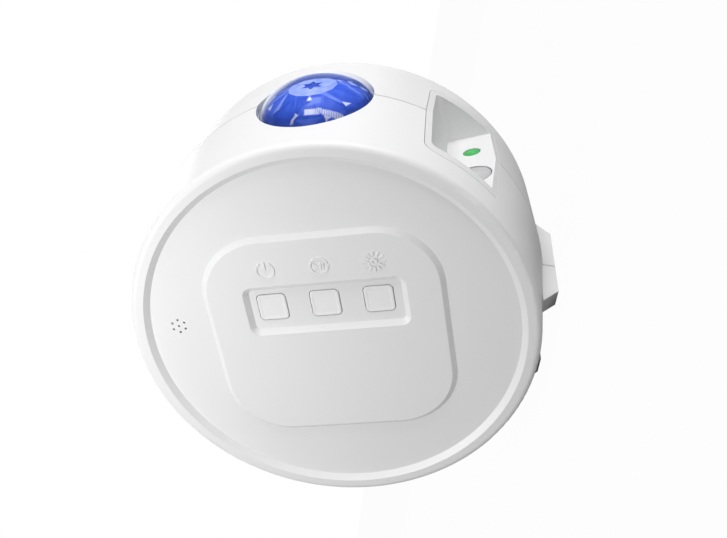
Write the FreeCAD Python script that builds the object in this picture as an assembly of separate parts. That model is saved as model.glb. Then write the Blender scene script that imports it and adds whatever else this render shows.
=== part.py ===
import FreeCAD, Part
import math
import os

from FreeCAD import Rotation, Vector

# Galaxy projector: a white drum that stands on two moulded feet with its axis level.
# Millimetres. The drum frame used below has its z axis along the drum's axis with the
# control face towards +z, the parting seam at z = 0, and the nebula dome along +y.
# stood() turns the finished pieces so that the feet are down and +Z is up.
ORIGIN = Vector(0, 0, 0)
ACROSS = Vector(1, 0, 0)
BEAM = Vector(0, 1, 0)
FRONT = Vector(0, 0, 1)

# General
overrun = 3.0
slip_gap = 0.1
running_gap = 0.05
plastic_wall = 2.2

# Drum
half_depth = 41.0
seam_radius = 76.5
drum_taper = 2.5
rim_fillet = 2.4
seam_gap = 0.3
lip_thickness = 1.2
lip_height = 3.0
lip_root = 4.0
lip_bite = 0.5
lip_clearance = 0.5

# Feet and stance
ground_angle = -15.5
foot_rise = 2.7
foot_inner = 12.5
foot_width = 6.0
foot_tip_front = 18.0
foot_tip_rear = 26.0
foot_slope = 8.0
foot_root = 3.5
pad_thickness = 1.0
pad_rise = 0.15
pad_margin = 1.0

# Control face
recess_depth = 1.8
rim_band = 4.8
recess_slope = 2.1
face_wall = 2.4
panel_width_share = 0.648
panel_height_share = 0.624
panel_corner_share = 0.35
panel_x = -0.9
panel_y = -0.7
panel_rise = 1.5
panel_bevel = 1.8
panel_edge = 0.6
key_bay_half_width = 29.3
key_bay_half_height = 10.1
key_bay_corner = 3.6
key_bay_x = -0.3
key_bay_y = 11.8
key_bay_depth = 1.6
key_bay_slope = 2.0

# Buttons and their switches
button_names = ("power", "mode", "light")
button_pitch = 19.25
button_x = -0.6
button_row = 12.6
button_side = 10.4
button_corner = 1.6
button_edge = 0.25
button_gap = 0.25
button_proud = 0.3
button_flange = 1.1
button_flange_height = 1.0
button_stem_radius = 2.2
button_stem_length = 0.4
button_travel = 0.6
plunger_radius = 1.7
plunger_length = 3.4
switch_side = 6.0
switch_height = 3.5
switch_floor = 0.3
plunger_reserve = 0.5

# Key board
board_thickness = 1.6
key_board_half_width = 37.0
key_board_half_height = 11.0
key_board_corner = 2.0
key_screw_inset = 4.0
post_radius = 3.0

# Icons moulded above the buttons
icon_row = 28.4
icon_shift = 0.6
icon_rise = 0.3
icon_radius = 3.4
icon_stroke = 0.6
icon_break = 60.0
icon_mark_run = 1.6
icon_mark_share = 0.38
icon_mark_gap = 0.35
icon_ray_share = 0.4
sun_radius = 3.9
sun_ring_radius = 1.2
ray_count = 12
ray_start = 1.9

# Microphone behind its seven small holes
mic_inset = 10.7
mic_y = 7.6
mic_hole_radius = 0.5
mic_ring_radius = 2.6
mic_hole_count = 6
mic_first_angle = 29.0
mic_radius = 3.0
mic_height = 3.4
boot_wall = 1.4
mic_ring_wall = 1.6
mic_ring_height = 5.4

# Shell screws in their towers
tower_angles = (135.0, 215.0, 290.0, 350.0)
tower_inset = 12.0
tower_radius = 4.2
shell_screw_shank = 1.3
shell_screw_head = 2.8
shell_screw_head_height = 2.2
shell_screw_grip = 8.0
shell_screw_bite = 12.0
head_access = 3.2

# Small screws
small_shank = 1.0
small_head = 1.9
small_head_height = 1.3
small_bite = 5.0

# Nebula dome
dome_shift = 1.0
dome_radius = 20.9
dome_sink = 5.5
dome_height = 11.2
dome_wall = 2.4
dome_facets = 12
dome_ring_shares = (0.78, 0.52, 0.25)
dome_neck_drop = 2.2
dome_flange = 3.2
dome_flange_height = 1.6
dome_clearance = 0.2
collar_radius = 31.0
flare_angle_across = 88.0
flare_angle_along = 29.0
flare_ledge = 0.15

# Nebula housing
cup_outer = 26.0
cup_inner = 23.8
deck_drop = 21.0
deck_thickness = 2.0
deck_half_width = 38.0
deck_half_depth = 26.0
light_hole = 11.2
lens_tube_wall = 1.8
lens_tube_height = 10.0
lamp_foot_height = 2.0
lamp_half_width = 14.5
lamp_half_depth = 20.0
lamp_screw_place = 17.0
lamp_boss_radius = 2.6
lamp_boss_height = 6.0
lens_ledge = 1.2
lens_ledge_height = 1.0
tab_width = 10.0
tab_height = 12.0
tab_thickness = 3.0
tab_screw_inset = 5.0
tab_screw_drop = 7.0
spoke_width = 2.4
spoke_count = 3
hub_radius = 3.6
hub_rise = 3.7

# Ripple disc and its drive
gear_module = 0.85
disc_teeth = 48
pinion_teeth = 12
tooth_fill_share = 0.8
tooth_root_share = 1.25
pressure_angle = 20.0
disc_thickness = 3.0
disc_lift = 0.2
pinion_overlap = 0.3
axle_radius = 1.3
axle_stick_out = 2.2
clip_radius = 2.6
clip_thickness = 0.6
clip_gap = 0.3
ripple_count = 5
ripple_depth = 0.4
ripple_width = 1.6
ripple_edge = 2.5
motor_radius = 9.0
motor_height = 16.0
motor_neck_radius = 3.0
motor_neck_height = 1.5
motor_shaft_radius = 1.0
motor_shaft_socket = 6.0
motor_ear_radius = 2.6
motor_ear_thickness = 1.0
motor_ear_place = 10.4
pocket_clearance = 0.9
pocket_wall = 1.7
pocket_rise = 10.0

# Lamp under the nebula housing
lens_height = 4.2
lens_skirt_wall = 1.2
lens_skirt_height = 3.0
lens_crown = 2.4
lamp_board_thickness = 1.6
chip_side = 3.4
chip_height = 0.8
chip_spacing = 4.6
sink_base = 3.0
fin_height = 11.4
fin_thickness = 1.4
fin_place_shares = (-0.92, -0.36, 0.36, 0.92)

# Laser bay, in a frame turned about the drum's axis: p across, q along its beams
bay_turn = 6.0
bay_left_share = 0.634
bay_floor_share = 0.4863
bay_half_width = 24.5
bay_frame = 4.0
bay_left_frame = 1.9
bay_wall = 1.6
bay_floor_thickness = 2.0
bay_corner = 4.0
bay_inner_corner = 2.4
bay_gap = 0.2
laser_inset = 9.5
laser_z = -10.0
laser_window_radius = 3.3
moon_inset = 9.9
moon_z = 10.5
moon_window_radius = 7.0
window_ledge = 0.7
window_thickness = 1.2
window_sink = 0.15
ear_drop = 9.0
ear_thickness = 2.0
ear_length = 16.0
ear_screw_drop = 5.5
ear_screw_inset = 3.6

# Optics under the laser bay
bracket_drop = 11.2
bracket_thickness = 2.0
bracket_half_depth = 25.0
bracket_left_reach = 6.0
bracket_right_reach = 15.5
bracket_post_radius = 2.3
bracket_posts = ((11.8, -21.5), (-1.9, 21.0))
laser_radius = 3.0
laser_drop = 6.2
laser_length = 18.0
wheel_inset = 1.5
wheel_radius = 11.0
wheel_thickness = 1.0
wheel_drop = 5.0
wheel_hub_radius = 2.2
wheel_hub_drop = 1.8
wheel_hub_rise = 0.4
grating_motor_radius = 4.2
grating_motor_drop = 7.2
grating_motor_length = 16.0
grating_shaft_radius = 0.75
grating_socket = 5.0
barrel_radius = 6.3
barrel_wall = 1.0
barrel_length = 21.0
slide_place = 6.0
slide_thickness = 0.8
moon_board_thickness = 1.4

# Main board
main_board_half_width = 38.0
main_board_half_height = 22.0
main_board_y = -28.0
main_board_drop = 17.0
main_screw_inset = 4.0
chip_package_side = 12.0
chip_package_height = 1.6
chip_package_x = -8.0
capacitor_radius = 3.2
capacitor_height = 9.0
capacitor_spacing = 9.0
capacitor_x = 14.0
header_width = 8.0
header_depth = 5.0
header_height = 6.0
header_count = 5
header_spacing = 12.0

# Speaker behind the rear grille
speaker_x = -6.0
speaker_y = -30.0
speaker_radius = 26.0
speaker_seat = 1.0
speaker_flange = 1.0
speaker_cone_radius = 20.0
speaker_depth = 12.0
speaker_neck = 13.0
speaker_sheet = 0.9
magnet_radius = 15.0
magnet_height = 8.0
cone_sheet = 0.6
cone_neck = 6.0
cone_depth = 8.0
cone_rim = 3.0
cone_rim_gap = 0.5
speaker_ear_circle = 29.0
speaker_ear_radius = 4.0
speaker_bite = 2.6
grille_hole_radius = 1.1
grille_pitch = 4.4
grille_ring_count = 4
grille_hole_count = 6
speaker_ear_count = 4
speaker_ear_angle = 45.0

# Power socket on its upright board
usb_x = 46.0
usb_y = -28.0
usb_width = 9.0
usb_height = 3.3
usb_depth = 7.5
usb_skin = 0.35
usb_tongue_width = 6.7
usb_tongue_height = 0.7
usb_tongue_length = 5.0
usb_opening_gap = 0.3
usb_sink = 0.5
usb_board_half_height = 9.0
usb_board_length = 18.0
usb_board_thickness = 1.2
rail_width = 2.4
rail_cheek = 1.4
rail_length = 12.0
rail_bite = 1.2

# Wiring
lead_radius = 0.8
lead_bend_share = 0.45
lead_drop = 9.0
lamp_lead_low = 12.0
lamp_lead_level = 24.5
laser_lead_rise = 16.0
laser_lead_turn = 40.0
motor_lead_turn = 6.0
speaker_lead_angle = 150.0
ribbon_half_width = 5.0
ribbon_sheet = 0.4
ribbon_level = 24.6
ribbon_inset = 2.6

# Worked out from the sizes above
rim_radius = seam_radius - drum_taper
rest_distance = seam_radius + foot_rise
split_reach = rest_distance + foot_inner + foot_width
recess_floor = half_depth - recess_depth
recess_top_radius = rim_radius - rim_band
recess_foot_radius = recess_top_radius - recess_slope
panel_half_width = recess_foot_radius * panel_width_share
panel_half_height = recess_foot_radius * panel_height_share
panel_corner = recess_foot_radius * panel_corner_share
panel_top = recess_floor + panel_rise
key_bay_floor = panel_top - key_bay_depth
mic_x = mic_inset - recess_foot_radius
tower_circle = rim_radius - tower_inset
face_inside = recess_floor - face_wall
rear_inside = -(half_depth - plastic_wall)
button_top = key_bay_floor + button_proud
button_foot = face_inside - button_flange_height
plunger_top = button_foot - button_stem_length
switch_top = plunger_top - button_travel - plunger_reserve
key_board_top = switch_top - switch_height
dome_plane = seam_radius - dome_sink
dome_flange_radius = dome_radius + dome_flange
deck_top = dome_plane - deck_drop
collar_under = dome_plane - dome_neck_drop
flange_under = collar_under - dome_flange_height
deck_under = deck_top - deck_thickness
lens_tube_foot = deck_under - lens_tube_height
lamp_top = lens_tube_foot
lamp_under = lamp_top - lamp_board_thickness
disc_pitch_radius = gear_module * disc_teeth / 2
pinion_pitch_radius = gear_module * pinion_teeth / 2
pinion_x = -(disc_pitch_radius + pinion_pitch_radius)
disc_base = deck_top + hub_rise + disc_lift
bay_left = seam_radius * bay_left_share
bay_floor = seam_radius * bay_floor_share
bay_under = bay_floor - bay_floor_thickness
laser_p = bay_left + laser_inset
moon_p = bay_left + moon_inset
wheel_p = bay_left + wheel_inset
bracket_left = bay_left - bracket_left_reach
bracket_right = bay_left + bracket_right_reach
bracket_top = bay_floor - bracket_drop
laser_top = bay_floor - laser_drop
wheel_base = bay_floor - wheel_drop
grating_motor_top = bay_floor - grating_motor_drop
ear_left = bay_left - bay_wall
ear_right = ear_left + ear_length
ear_front = slip_gap - bay_half_width - bay_wall
ear_back = ear_front - slip_gap - ear_thickness
main_board_front = face_inside - main_board_drop
main_board_rear = main_board_front - board_thickness


def radius_at(z, inset):
    """Radius of the double cone drum at a height on its axis, drawn in by inset."""
    return seam_radius - inset - (seam_radius - rim_radius) * abs(z) / half_depth


def spun(profile, way):
    """A solid turned about way through the origin from (radius, height) points."""
    points = [ACROSS * radius + way * height for radius, height in profile]
    wire = Part.makePolygon(points + points[:1])
    return Part.Face(wire).revolve(ORIGIN, way, 360)


def rod(radius, start, length, way):
    return Part.makeCylinder(radius, length, start, way)


def pipe(outer, inner, start, length, way):
    bore = rod(inner, start - way * overrun, length + 2 * overrun, way)
    return rod(outer, start, length, way).cut(bore)


def block(x_span, y_span, z_span):
    """A box from its low and high values on each axis."""
    spans = (x_span, y_span, z_span)
    low = Vector(*[min(span) for span in spans])
    sides = [max(span) - min(span) for span in spans]
    return Part.makeBox(sides[0], sides[1], sides[2], low)


def rounded(half_width, half_height, corner, centre, z_span):
    """A rounded rectangle standing along z about the point centre."""
    x, y = centre
    body = block((x - half_width, x + half_width), (y - half_height, y + half_height), z_span)
    uprights = [edge for edge in body.Edges if abs(edge.tangentAt(edge.FirstParameter).z) > 0.9]
    return body.makeFillet(corner, uprights)


def joined(shapes):
    """One solid from several that overlap or touch."""
    shapes = list(shapes)
    return shapes[0].multiFuse(shapes[1:]).removeSplitter()


def group(shapes):
    """Separate solids that share one file."""
    return Part.makeCompound([solid for shape in shapes for solid in shape.Solids])


def moved(shape, place):
    return shape.translated(place)


def around(shape, angle):
    """A copy of the shape turned about the drum's axis."""
    turned = shape.copy()
    turned.rotate(ORIGIN, FRONT, angle)
    return turned


def in_bay(shape):
    """A shape drawn in p and q, set into the laser bay's frame."""
    return around(shape, bay_turn)


def screw(head, shank, grip, seat, way, head_height):
    """A pan head screw whose head sits behind the point seat and whose shank runs along way."""
    return joined([rod(head, seat - way * head_height, head_height, way), rod(shank, seat, grip, way)])


def small_screw(grip, seat, way):
    return screw(small_head, small_shank, grip + small_bite, seat, way, small_head_height)


def pilot(grip, seat, way):
    """The hole that a small screw cuts its thread in, past the piece that it clamps."""
    return rod(small_shank, seat - way * grip, grip + small_bite + slip_gap, way)


def corners(half_width, half_height, centre):
    x, y = centre
    return [(x + i * half_width, y + j * half_height) for i in (-1, 1) for j in (-1, 1)]


def gear(teeth, thickness):
    """A spur gear about z with straight flanks at the pressure angle, one tooth on +x."""
    pitch = gear_module * teeth / 2
    half_tooth = math.pi * gear_module / 4 * tooth_fill_share
    slope = math.tan(math.radians(pressure_angle))
    root_depth = tooth_root_share * gear_module
    outline = []
    for index in range(teeth):
        middle = 2 * math.pi * index / teeth
        for side, step in ((-1, -root_depth), (-1, gear_module), (1, gear_module), (1, -root_depth)):
            radius = pitch + step
            angle = middle + side * (half_tooth - step * slope) / radius
            outline.append(Vector(radius * math.cos(angle), radius * math.sin(angle), 0))
    wire = Part.makePolygon(outline + outline[:1])
    return Part.Face(wire).extrude(FRONT * thickness)


def along_beam(shape, x, height):
    """A shape drawn about z, laid so that its axis runs along the beam at the given x and height."""
    laid = shape.copy()
    laid.rotate(ORIGIN, ACROSS, -90)
    return moved(laid, Vector(x, height, 0))


def at_dome(shape):
    """A shape drawn about the y axis, moved to the nebula projector's axis."""
    return moved(shape, ACROSS * dome_shift)


def solid_drum(inset, low, high):
    """The drum's outer form, or the same drawn in by inset, between two heights."""
    profile = [(0, low), (radius_at(low, inset), low), (radius_at(0, inset), 0)]
    profile += [(radius_at(high, inset), high), (0, high)]
    return spun(profile, FRONT)


def outer_drum():
    drum = solid_drum(0, -half_depth, half_depth)
    rims = [edge for edge in drum.Edges if abs(abs(edge.BoundBox.Center.z) - half_depth) < slip_gap]
    rims = [edge for edge in rims if edge.Length > math.pi * rim_radius]
    return drum.makeFillet(rim_fillet, rims)


def drum_cavity():
    return solid_drum(plastic_wall, rear_inside, face_inside)


def foot(side):
    """One foot: a bar along the drum's axis with sloped ends, drawn towards +x."""
    low = foot_inner if side > 0 else -foot_inner - foot_width
    root = seam_radius - foot_root
    tip = rest_distance - pad_rise
    outline = [(root, -foot_tip_rear - foot_slope), (tip, -foot_tip_rear)]
    outline += [(tip, foot_tip_front), (root, foot_tip_front + foot_slope)]
    points = [Vector(distance, low, along) for distance, along in outline]
    bar = Part.Face(Part.makePolygon(points + points[:1])).extrude(BEAM * foot_width)
    return around(bar.cut(pad(side)), ground_angle)


def pad(side):
    """One rubber strip, let into the foot and standing a little proud, drawn towards +x."""
    middle = side * (foot_inner + foot_width / 2)
    half = foot_width / 2 - pad_margin
    span = (rest_distance - pad_thickness, rest_distance)
    ends = (pad_margin - foot_tip_rear, foot_tip_front - pad_margin)
    return block(span, (middle - half, middle + half), ends)


def foot_pads():
    return group(around(pad(side), ground_angle) for side in (-1, 1))


def oval(along, across, height):
    """An ellipse about the dome's axis, longer along the drum's axis than across it."""
    centre = BEAM * height
    curve = Part.Ellipse(centre + FRONT * along, centre + ACROSS * across, centre)
    return Part.Wire(curve.toShape())


def flare():
    """The dip of the drum's skin down to the rim of the dome, wider along the drum than across it."""
    top = seam_radius + overrun
    inner = dome_radius + dome_clearance
    along = inner + (top - dome_plane) / math.tan(math.radians(flare_angle_along))
    across = inner + (top - dome_plane) / math.tan(math.radians(flare_angle_across))
    rings = [oval(inner + 2 * flare_ledge, inner + flare_ledge, dome_plane)]
    rings.append(oval(along, across + flare_ledge, top))
    return Part.makeLoft(rings, True, True)


def bay_footprint(gap):
    """The rounded patch of the drum's side that the laser bay fills."""
    left = bay_left - bay_left_frame - gap
    right = seam_radius + overrun
    half = bay_half_width + bay_frame + gap
    patch = rounded((right - left) / 2, half, bay_corner + gap, ((left + right) / 2, 0), (0, right))
    patch.rotate(ORIGIN, ACROSS, -90)
    return patch.common(block((0, right), (bay_under - gap, right), (-half, half)))


def drum_skin():
    """Both halves in one: walls, feet, dome collar and the openings that cross the seam."""
    drum = outer_drum()
    body = joined([drum, foot(-1), foot(1)]).cut(drum_cavity())
    collar = at_dome(rod(collar_radius, BEAM * collar_under, seam_radius, BEAM)).common(drum)
    body = joined([body, collar])
    opening = rod(dome_radius + dome_clearance, BEAM * flange_under, seam_radius, BEAM)
    body = body.cut(at_dome(opening)).cut(at_dome(flare()))
    return body.cut(in_bay(bay_footprint(bay_gap)))


def tower_places():
    angles = [math.radians(angle) for angle in tower_angles]
    return [Vector(math.cos(angle), math.sin(angle), 0) * tower_circle for angle in angles]


def power_icon(raised):
    """An open ring with a short bar in its gap."""
    ring = pipe(icon_radius, icon_radius - icon_stroke, ORIGIN, raised, FRONT)
    reach = icon_radius + overrun
    edge = math.radians(icon_break / 2)
    corner = Vector(reach * math.sin(edge), reach * math.cos(edge), 0)
    mirror = Vector(-corner.x, corner.y, 0)
    wedge = Part.Face(Part.makePolygon([ORIGIN, corner, mirror, ORIGIN])).extrude(FRONT * raised)
    bar = block((-icon_stroke / 2, icon_stroke / 2), (0, icon_radius), (0, raised))
    return group([ring.cut(wedge), bar])


def mode_icon(raised):
    """A round arrow about a play mark with two bars."""
    ring = pipe(icon_radius, icon_radius - icon_stroke, ORIGIN, raised, FRONT)
    gap = block((0, icon_radius + icon_stroke), (-icon_stroke, icon_stroke), (0, raised))
    arrow = [Vector(icon_radius - 2 * icon_stroke, icon_stroke, 0)]
    arrow += [Vector(icon_radius + icon_stroke, icon_stroke, 0)]
    arrow += [Vector(icon_radius - icon_stroke / 2, -icon_stroke / 2, 0)]
    head = Part.Face(Part.makePolygon(arrow + arrow[:1])).extrude(FRONT * raised)
    half = icon_radius * icon_mark_share
    tip = -icon_mark_gap / 2
    play = [Vector(tip - icon_mark_run, -half, 0), Vector(tip, 0, 0), Vector(tip - icon_mark_run, half, 0)]
    mark = Part.Face(Part.makePolygon(play + play[:1])).extrude(FRONT * raised)
    bars = [block((start, start + icon_stroke), (-half, half), (0, raised))
            for start in (icon_mark_gap / 2, icon_mark_gap / 2 + icon_stroke + icon_mark_gap)]
    return group([joined([ring.cut(gap), head]), mark] + bars)


def light_icon(raised):
    """A small sun: a ring with rays."""
    ring = pipe(sun_ring_radius, sun_ring_radius - icon_stroke, ORIGIN, raised, FRONT)
    half = icon_stroke * icon_ray_share
    ray = block((ray_start, sun_radius), (-half, half), (0, raised))
    return group([ring] + [around(ray, 360 * index / ray_count) for index in range(ray_count)])


def button_places():
    return {name: Vector(button_x + (index - 1) * button_pitch, button_row, 0)
            for index, name in enumerate(button_names)}


def icons():
    """The three moulded marks, rooted in the panel below them."""
    raised = 2 * icon_rise
    shapes = zip(button_places().values(), (power_icon(raised), mode_icon(raised), light_icon(raised)))
    lift = panel_top - icon_rise
    return [moved(shape, Vector(place.x + icon_shift, icon_row, lift)) for place, shape in shapes]


def mic_holes():
    centre = Vector(mic_x, mic_y, face_inside - overrun)
    length = face_wall + 2 * overrun
    angles = [math.radians(mic_first_angle + 360 * index / mic_hole_count) for index in range(mic_hole_count)]
    places = [Vector(math.cos(angle), math.sin(angle), 0) * mic_ring_radius for angle in angles]
    return [rod(mic_hole_radius, centre + place, length, FRONT) for place in [ORIGIN] + places]


def face_relief():
    """What is cut into the control face: the recess is cut first, then the panel is added."""
    rise = recess_depth + overrun
    spread = (recess_top_radius - recess_foot_radius) * rise / recess_depth
    return Part.makeCone(recess_foot_radius, recess_foot_radius + spread, rise, FRONT * recess_floor)


def outline_at(shape, z):
    """The flat outline of a shape at one of its end heights."""
    return [face.OuterWire for face in shape.Faces if abs(face.BoundBox.ZMin - z) < slip_gap
            and abs(face.BoundBox.ZMax - z) < slip_gap][0]


def sloped(half_width, half_height, corner, centre, z_span, run):
    """A rounded rectangle at the first height that widens by run up to the second."""
    low, high = z_span
    small = rounded(half_width, half_height, corner, centre, (low, low + overrun))
    wide = rounded(half_width + run, half_height + run, corner + run, centre, (high, high + overrun))
    return Part.makeLoft([outline_at(small, low), outline_at(wide, high)], True)


def raised_panel():
    """The panel with its sloped edge, rooted in the recess and rounded where the slope meets the top."""
    foot_level = recess_floor - face_wall / 2
    drop = panel_top - foot_level
    run = panel_bevel * drop / panel_rise
    panel = sloped(panel_half_width - panel_bevel, panel_half_height - panel_bevel,
                   panel_corner - panel_bevel, (panel_x, panel_y), (panel_top, foot_level), run)
    top = [edge for edge in panel.Edges if edge.BoundBox.ZMin > panel_top - slip_gap]
    return panel.makeFillet(panel_edge, top)


def key_openings():
    """The sloped bay and the three key holes through its floor."""
    above = key_bay_slope * (key_bay_depth + overrun) / key_bay_depth
    bay = sloped(key_bay_half_width - key_bay_slope, key_bay_half_height - key_bay_slope,
                 key_bay_corner - key_bay_slope, (key_bay_x, key_bay_y),
                 (key_bay_floor, panel_top + overrun), above)
    half = button_side / 2 + button_gap
    holes = [rounded(half, half, button_corner + button_gap, (place.x, place.y),
                     (face_inside - overrun, panel_top)) for place in button_places().values()]
    return joined([bay] + holes)


def key_screw_places():
    inset = key_screw_inset
    return corners(key_board_half_width - inset, key_board_half_height - inset, (0, button_row))


def main_screw_places():
    inset = main_screw_inset
    return corners(main_board_half_width - inset, main_board_half_height - inset, (0, main_board_y))


def face_posts():
    """Posts under the control face for the key board and the main board, with their pilot holes."""
    posts = []
    for places, top in ((key_screw_places(), key_board_top), (main_screw_places(), main_board_front)):
        for x, y in places:
            seat = Vector(x, y, top)
            post = rod(post_radius, seat, face_inside + face_wall / 2 - top, FRONT)
            posts.append(post.cut(pilot(0, seat, FRONT)))
    return posts


def front_shell():
    half = drum_skin().common(block((-split_reach, split_reach), (-split_reach, split_reach),
                                    (seam_gap / 2, half_depth)))
    body = joined([half.cut(face_relief()), raised_panel()] + face_posts())
    ring = pipe(mic_radius + boot_wall + mic_ring_wall, mic_radius + boot_wall,
                Vector(mic_x, mic_y, face_inside - mic_ring_height), mic_ring_height + face_wall / 2, FRONT)
    ring = ring.common(block((-rim_radius, 0), (-rim_radius, rim_radius), (0, face_inside + slip_gap)))
    bosses = [rod(tower_radius, place + FRONT * (seam_gap / 2), face_inside, FRONT)
              for place in tower_places()]
    bosses = [boss.cut(rod(shell_screw_shank, place, shell_screw_bite + slip_gap, FRONT))
              for boss, place in zip(bosses, tower_places())]
    body = joined([body, ring] + bosses + [piece for icon in icons() for piece in icon.Solids])
    return body.cut(key_openings()).cut(Part.makeCompound(mic_holes()))


def grille_holes():
    """Rings of round holes in the rear wall in front of the speaker."""
    start = Vector(speaker_x, speaker_y, -half_depth - overrun)
    length = plastic_wall + 2 * overrun
    holes = [rod(grille_hole_radius, start, length, FRONT)]
    for ring in range(1, grille_ring_count + 1):
        count = grille_hole_count * ring
        for index in range(count):
            angle = 2 * math.pi * index / count
            place = Vector(math.cos(angle), math.sin(angle), 0) * (ring * grille_pitch)
            holes.append(rod(grille_hole_radius, start + place, length, FRONT))
    return Part.makeCompound(holes)


def tab_screw_places():
    x = deck_half_width - tab_screw_inset
    return [(side * x, deck_top - tab_screw_drop) for side in (-1, 1)]


def speaker_screw_places():
    angles = [math.radians(speaker_ear_angle + 360 * index / speaker_ear_count)
              for index in range(speaker_ear_count)]
    return [(speaker_x + speaker_ear_circle * math.cos(angle),
             speaker_y + speaker_ear_circle * math.sin(angle)) for angle in angles]


def ear_screw_places():
    """Screws of the laser bay's ear, in the drum frame."""
    q = bay_under - ear_screw_drop
    places = []
    for p in (ear_left + ear_screw_inset, ear_right - ear_screw_inset):
        turned = Rotation(FRONT, bay_turn).multVec(Vector(p, q, 0))
        places.append((turned.x, turned.y))
    return places


def rear_posts():
    """Posts on the rear wall for the nebula housing, the laser bay and the speaker."""
    foot_level = rear_inside - plastic_wall / 2
    posts = []
    tops = [((x + dome_shift, y), -deck_half_depth) for x, y in tab_screw_places()]
    tops += [(place, ear_back) for place in ear_screw_places()]
    for (x, y), top in tops:
        posts.append(rod(post_radius, Vector(x, y, foot_level), top - foot_level, FRONT))
    seats = [rod(post_radius, Vector(x, y, foot_level), rear_inside + speaker_seat - foot_level, FRONT)
             for x, y in speaker_screw_places()]
    return posts + seats


def rear_pilots():
    """The pilot holes in the posts of the rear shell."""
    seats = [Vector(x + dome_shift, y, -deck_half_depth) for x, y in tab_screw_places()]
    seats += [Vector(x, y, ear_back) for x, y in ear_screw_places()]
    pilots = [pilot(0, seat, FRONT * -1) for seat in seats]
    pilots += [rod(small_shank, Vector(x, y, rear_inside + speaker_seat), speaker_bite, FRONT * -1)
               for x, y in speaker_screw_places()]
    return Part.makeCompound(pilots)


def screw_towers():
    towers = []
    for place in tower_places():
        foot_level = place + FRONT * (rear_inside - plastic_wall / 2)
        top = -seam_gap / 2 - foot_level.z
        towers.append(rod(tower_radius, foot_level, top, FRONT))
    return towers


def tower_bores():
    """Head access from the rear face up to the seat, and the shank hole beyond it."""
    bores = []
    for place in tower_places():
        start = place - FRONT * (half_depth + overrun)
        bores.append(rod(head_access, start, half_depth + overrun - shell_screw_grip, FRONT))
        bores.append(rod(shell_screw_shank + slip_gap, start, half_depth + 2 * overrun, FRONT))
    return bores


def usb_form(grow, depth, start):
    """The rounded outline of the power socket, along z from the height start."""
    half_width = usb_height / 2 + grow
    half_height = usb_width / 2 + grow
    return rounded(half_width, half_height, half_width - running_gap, (usb_x, usb_y), (start, start + depth))


def usb_board_span():
    """The upright board's place across x, against the socket's under side."""
    face = usb_x + usb_height / 2
    return (face, face + usb_board_thickness)


def board_rails():
    """Two grooved rails on the rear wall that hold the edges of the upright board."""
    low, high = usb_board_span()
    level = (rear_inside - plastic_wall / 2, rear_inside + rail_length)
    rails = []
    for side in (-1, 1):
        edge = usb_y + side * usb_board_half_height
        span = (edge - side * rail_bite, edge + side * (rail_width - rail_bite))
        rail = block((low - rail_cheek, high + rail_cheek), span, level)
        groove = block((low - slip_gap, high + slip_gap), (usb_y, edge + side * slip_gap),
                       (rear_inside, rear_inside + rail_length + overrun))
        rails.append(rail.cut(groove))
    return rails


def seam_lip():
    """The tongue of the rear half that closes the seam from inside."""
    outer = seam_radius - plastic_wall - lip_clearance
    inner = outer - lip_thickness
    tongue = pipe(outer, inner, FRONT * -lip_root, lip_root + lip_height, FRONT)
    root = pipe(outer + lip_clearance + lip_bite, inner, FRONT * -lip_root, lip_root - seam_gap / 2, FRONT)
    ring = joined([tongue, root])
    width = cup_outer + overrun
    dome_way = block((-width, width), (0, seam_radius), (-lip_root - overrun, lip_height + overrun))
    return ring.cut(dome_way).cut(in_bay(bay_footprint(bay_gap))).cut(in_bay(bay_room(slip_gap)))


def rear_shell():
    half = drum_skin().common(block((-split_reach, split_reach), (-split_reach, split_reach),
                                    (-half_depth, -seam_gap / 2)))
    body = joined([half, seam_lip()] + screw_towers() + rear_posts() + board_rails())
    opening = usb_form(usb_opening_gap, plastic_wall + 2 * overrun, -half_depth - overrun)
    opening = opening.common(block((0, rim_radius), (-rim_radius, 0), (-half_depth - overrun, rear_inside)))
    body = body.cut(Part.makeCompound(tower_bores())).cut(grille_holes())
    return body.cut(opening).cut(rear_pilots())


def shell_screws():
    seat = FRONT * -shell_screw_grip
    length = shell_screw_grip + shell_screw_bite
    return group(screw(shell_screw_head, shell_screw_shank, length, place + seat, FRONT,
                       shell_screw_head_height) for place in tower_places())


def button(place):
    """A square cap with a flange behind the face and a short stem on its switch."""
    half = button_side / 2
    centre = (place.x, place.y)
    cap = rounded(half, half, button_corner, centre, (button_foot, button_top))
    crown = [edge for edge in cap.Edges if edge.BoundBox.ZMin > button_top - slip_gap]
    cap = cap.makeFillet(button_edge, crown)
    wide = half + button_flange
    flange = rounded(wide, wide, button_corner, centre, (button_foot, face_inside - slip_gap))
    stem = rod(button_stem_radius, Vector(place.x, place.y, plunger_top), button_stem_length, FRONT)
    return joined([cap, flange, stem])


def plunger(place):
    start = Vector(place.x, place.y, plunger_top - plunger_length)
    return rod(plunger_radius, start, plunger_length, FRONT)


def tact_switches():
    half = switch_side / 2
    bodies = []
    for place in button_places().values():
        body = block((place.x - half, place.x + half), (place.y - half, place.y + half),
                     (key_board_top, switch_top))
        bore = rod(plunger_radius + running_gap, Vector(place.x, place.y, key_board_top + switch_floor),
                   switch_height, FRONT)
        bodies.append(body.cut(bore))
    return group(bodies)


def drilled_board(half_width, half_height, corner, centre, front, places):
    """A circuit board with a clearance hole at each screw."""
    board = rounded(half_width, half_height, corner, centre, (front - board_thickness, front))
    holes = [rod(small_shank + slip_gap, Vector(x, y, front - board_thickness - overrun),
                 board_thickness + 2 * overrun, FRONT) for x, y in places]
    return board.cut(Part.makeCompound(holes))


def key_board():
    return drilled_board(key_board_half_width, key_board_half_height, key_board_corner, (0, button_row),
                         key_board_top, key_screw_places())


def main_board():
    return drilled_board(main_board_half_width, main_board_half_height, key_board_corner, (0, main_board_y),
                         main_board_front, main_screw_places())


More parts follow.
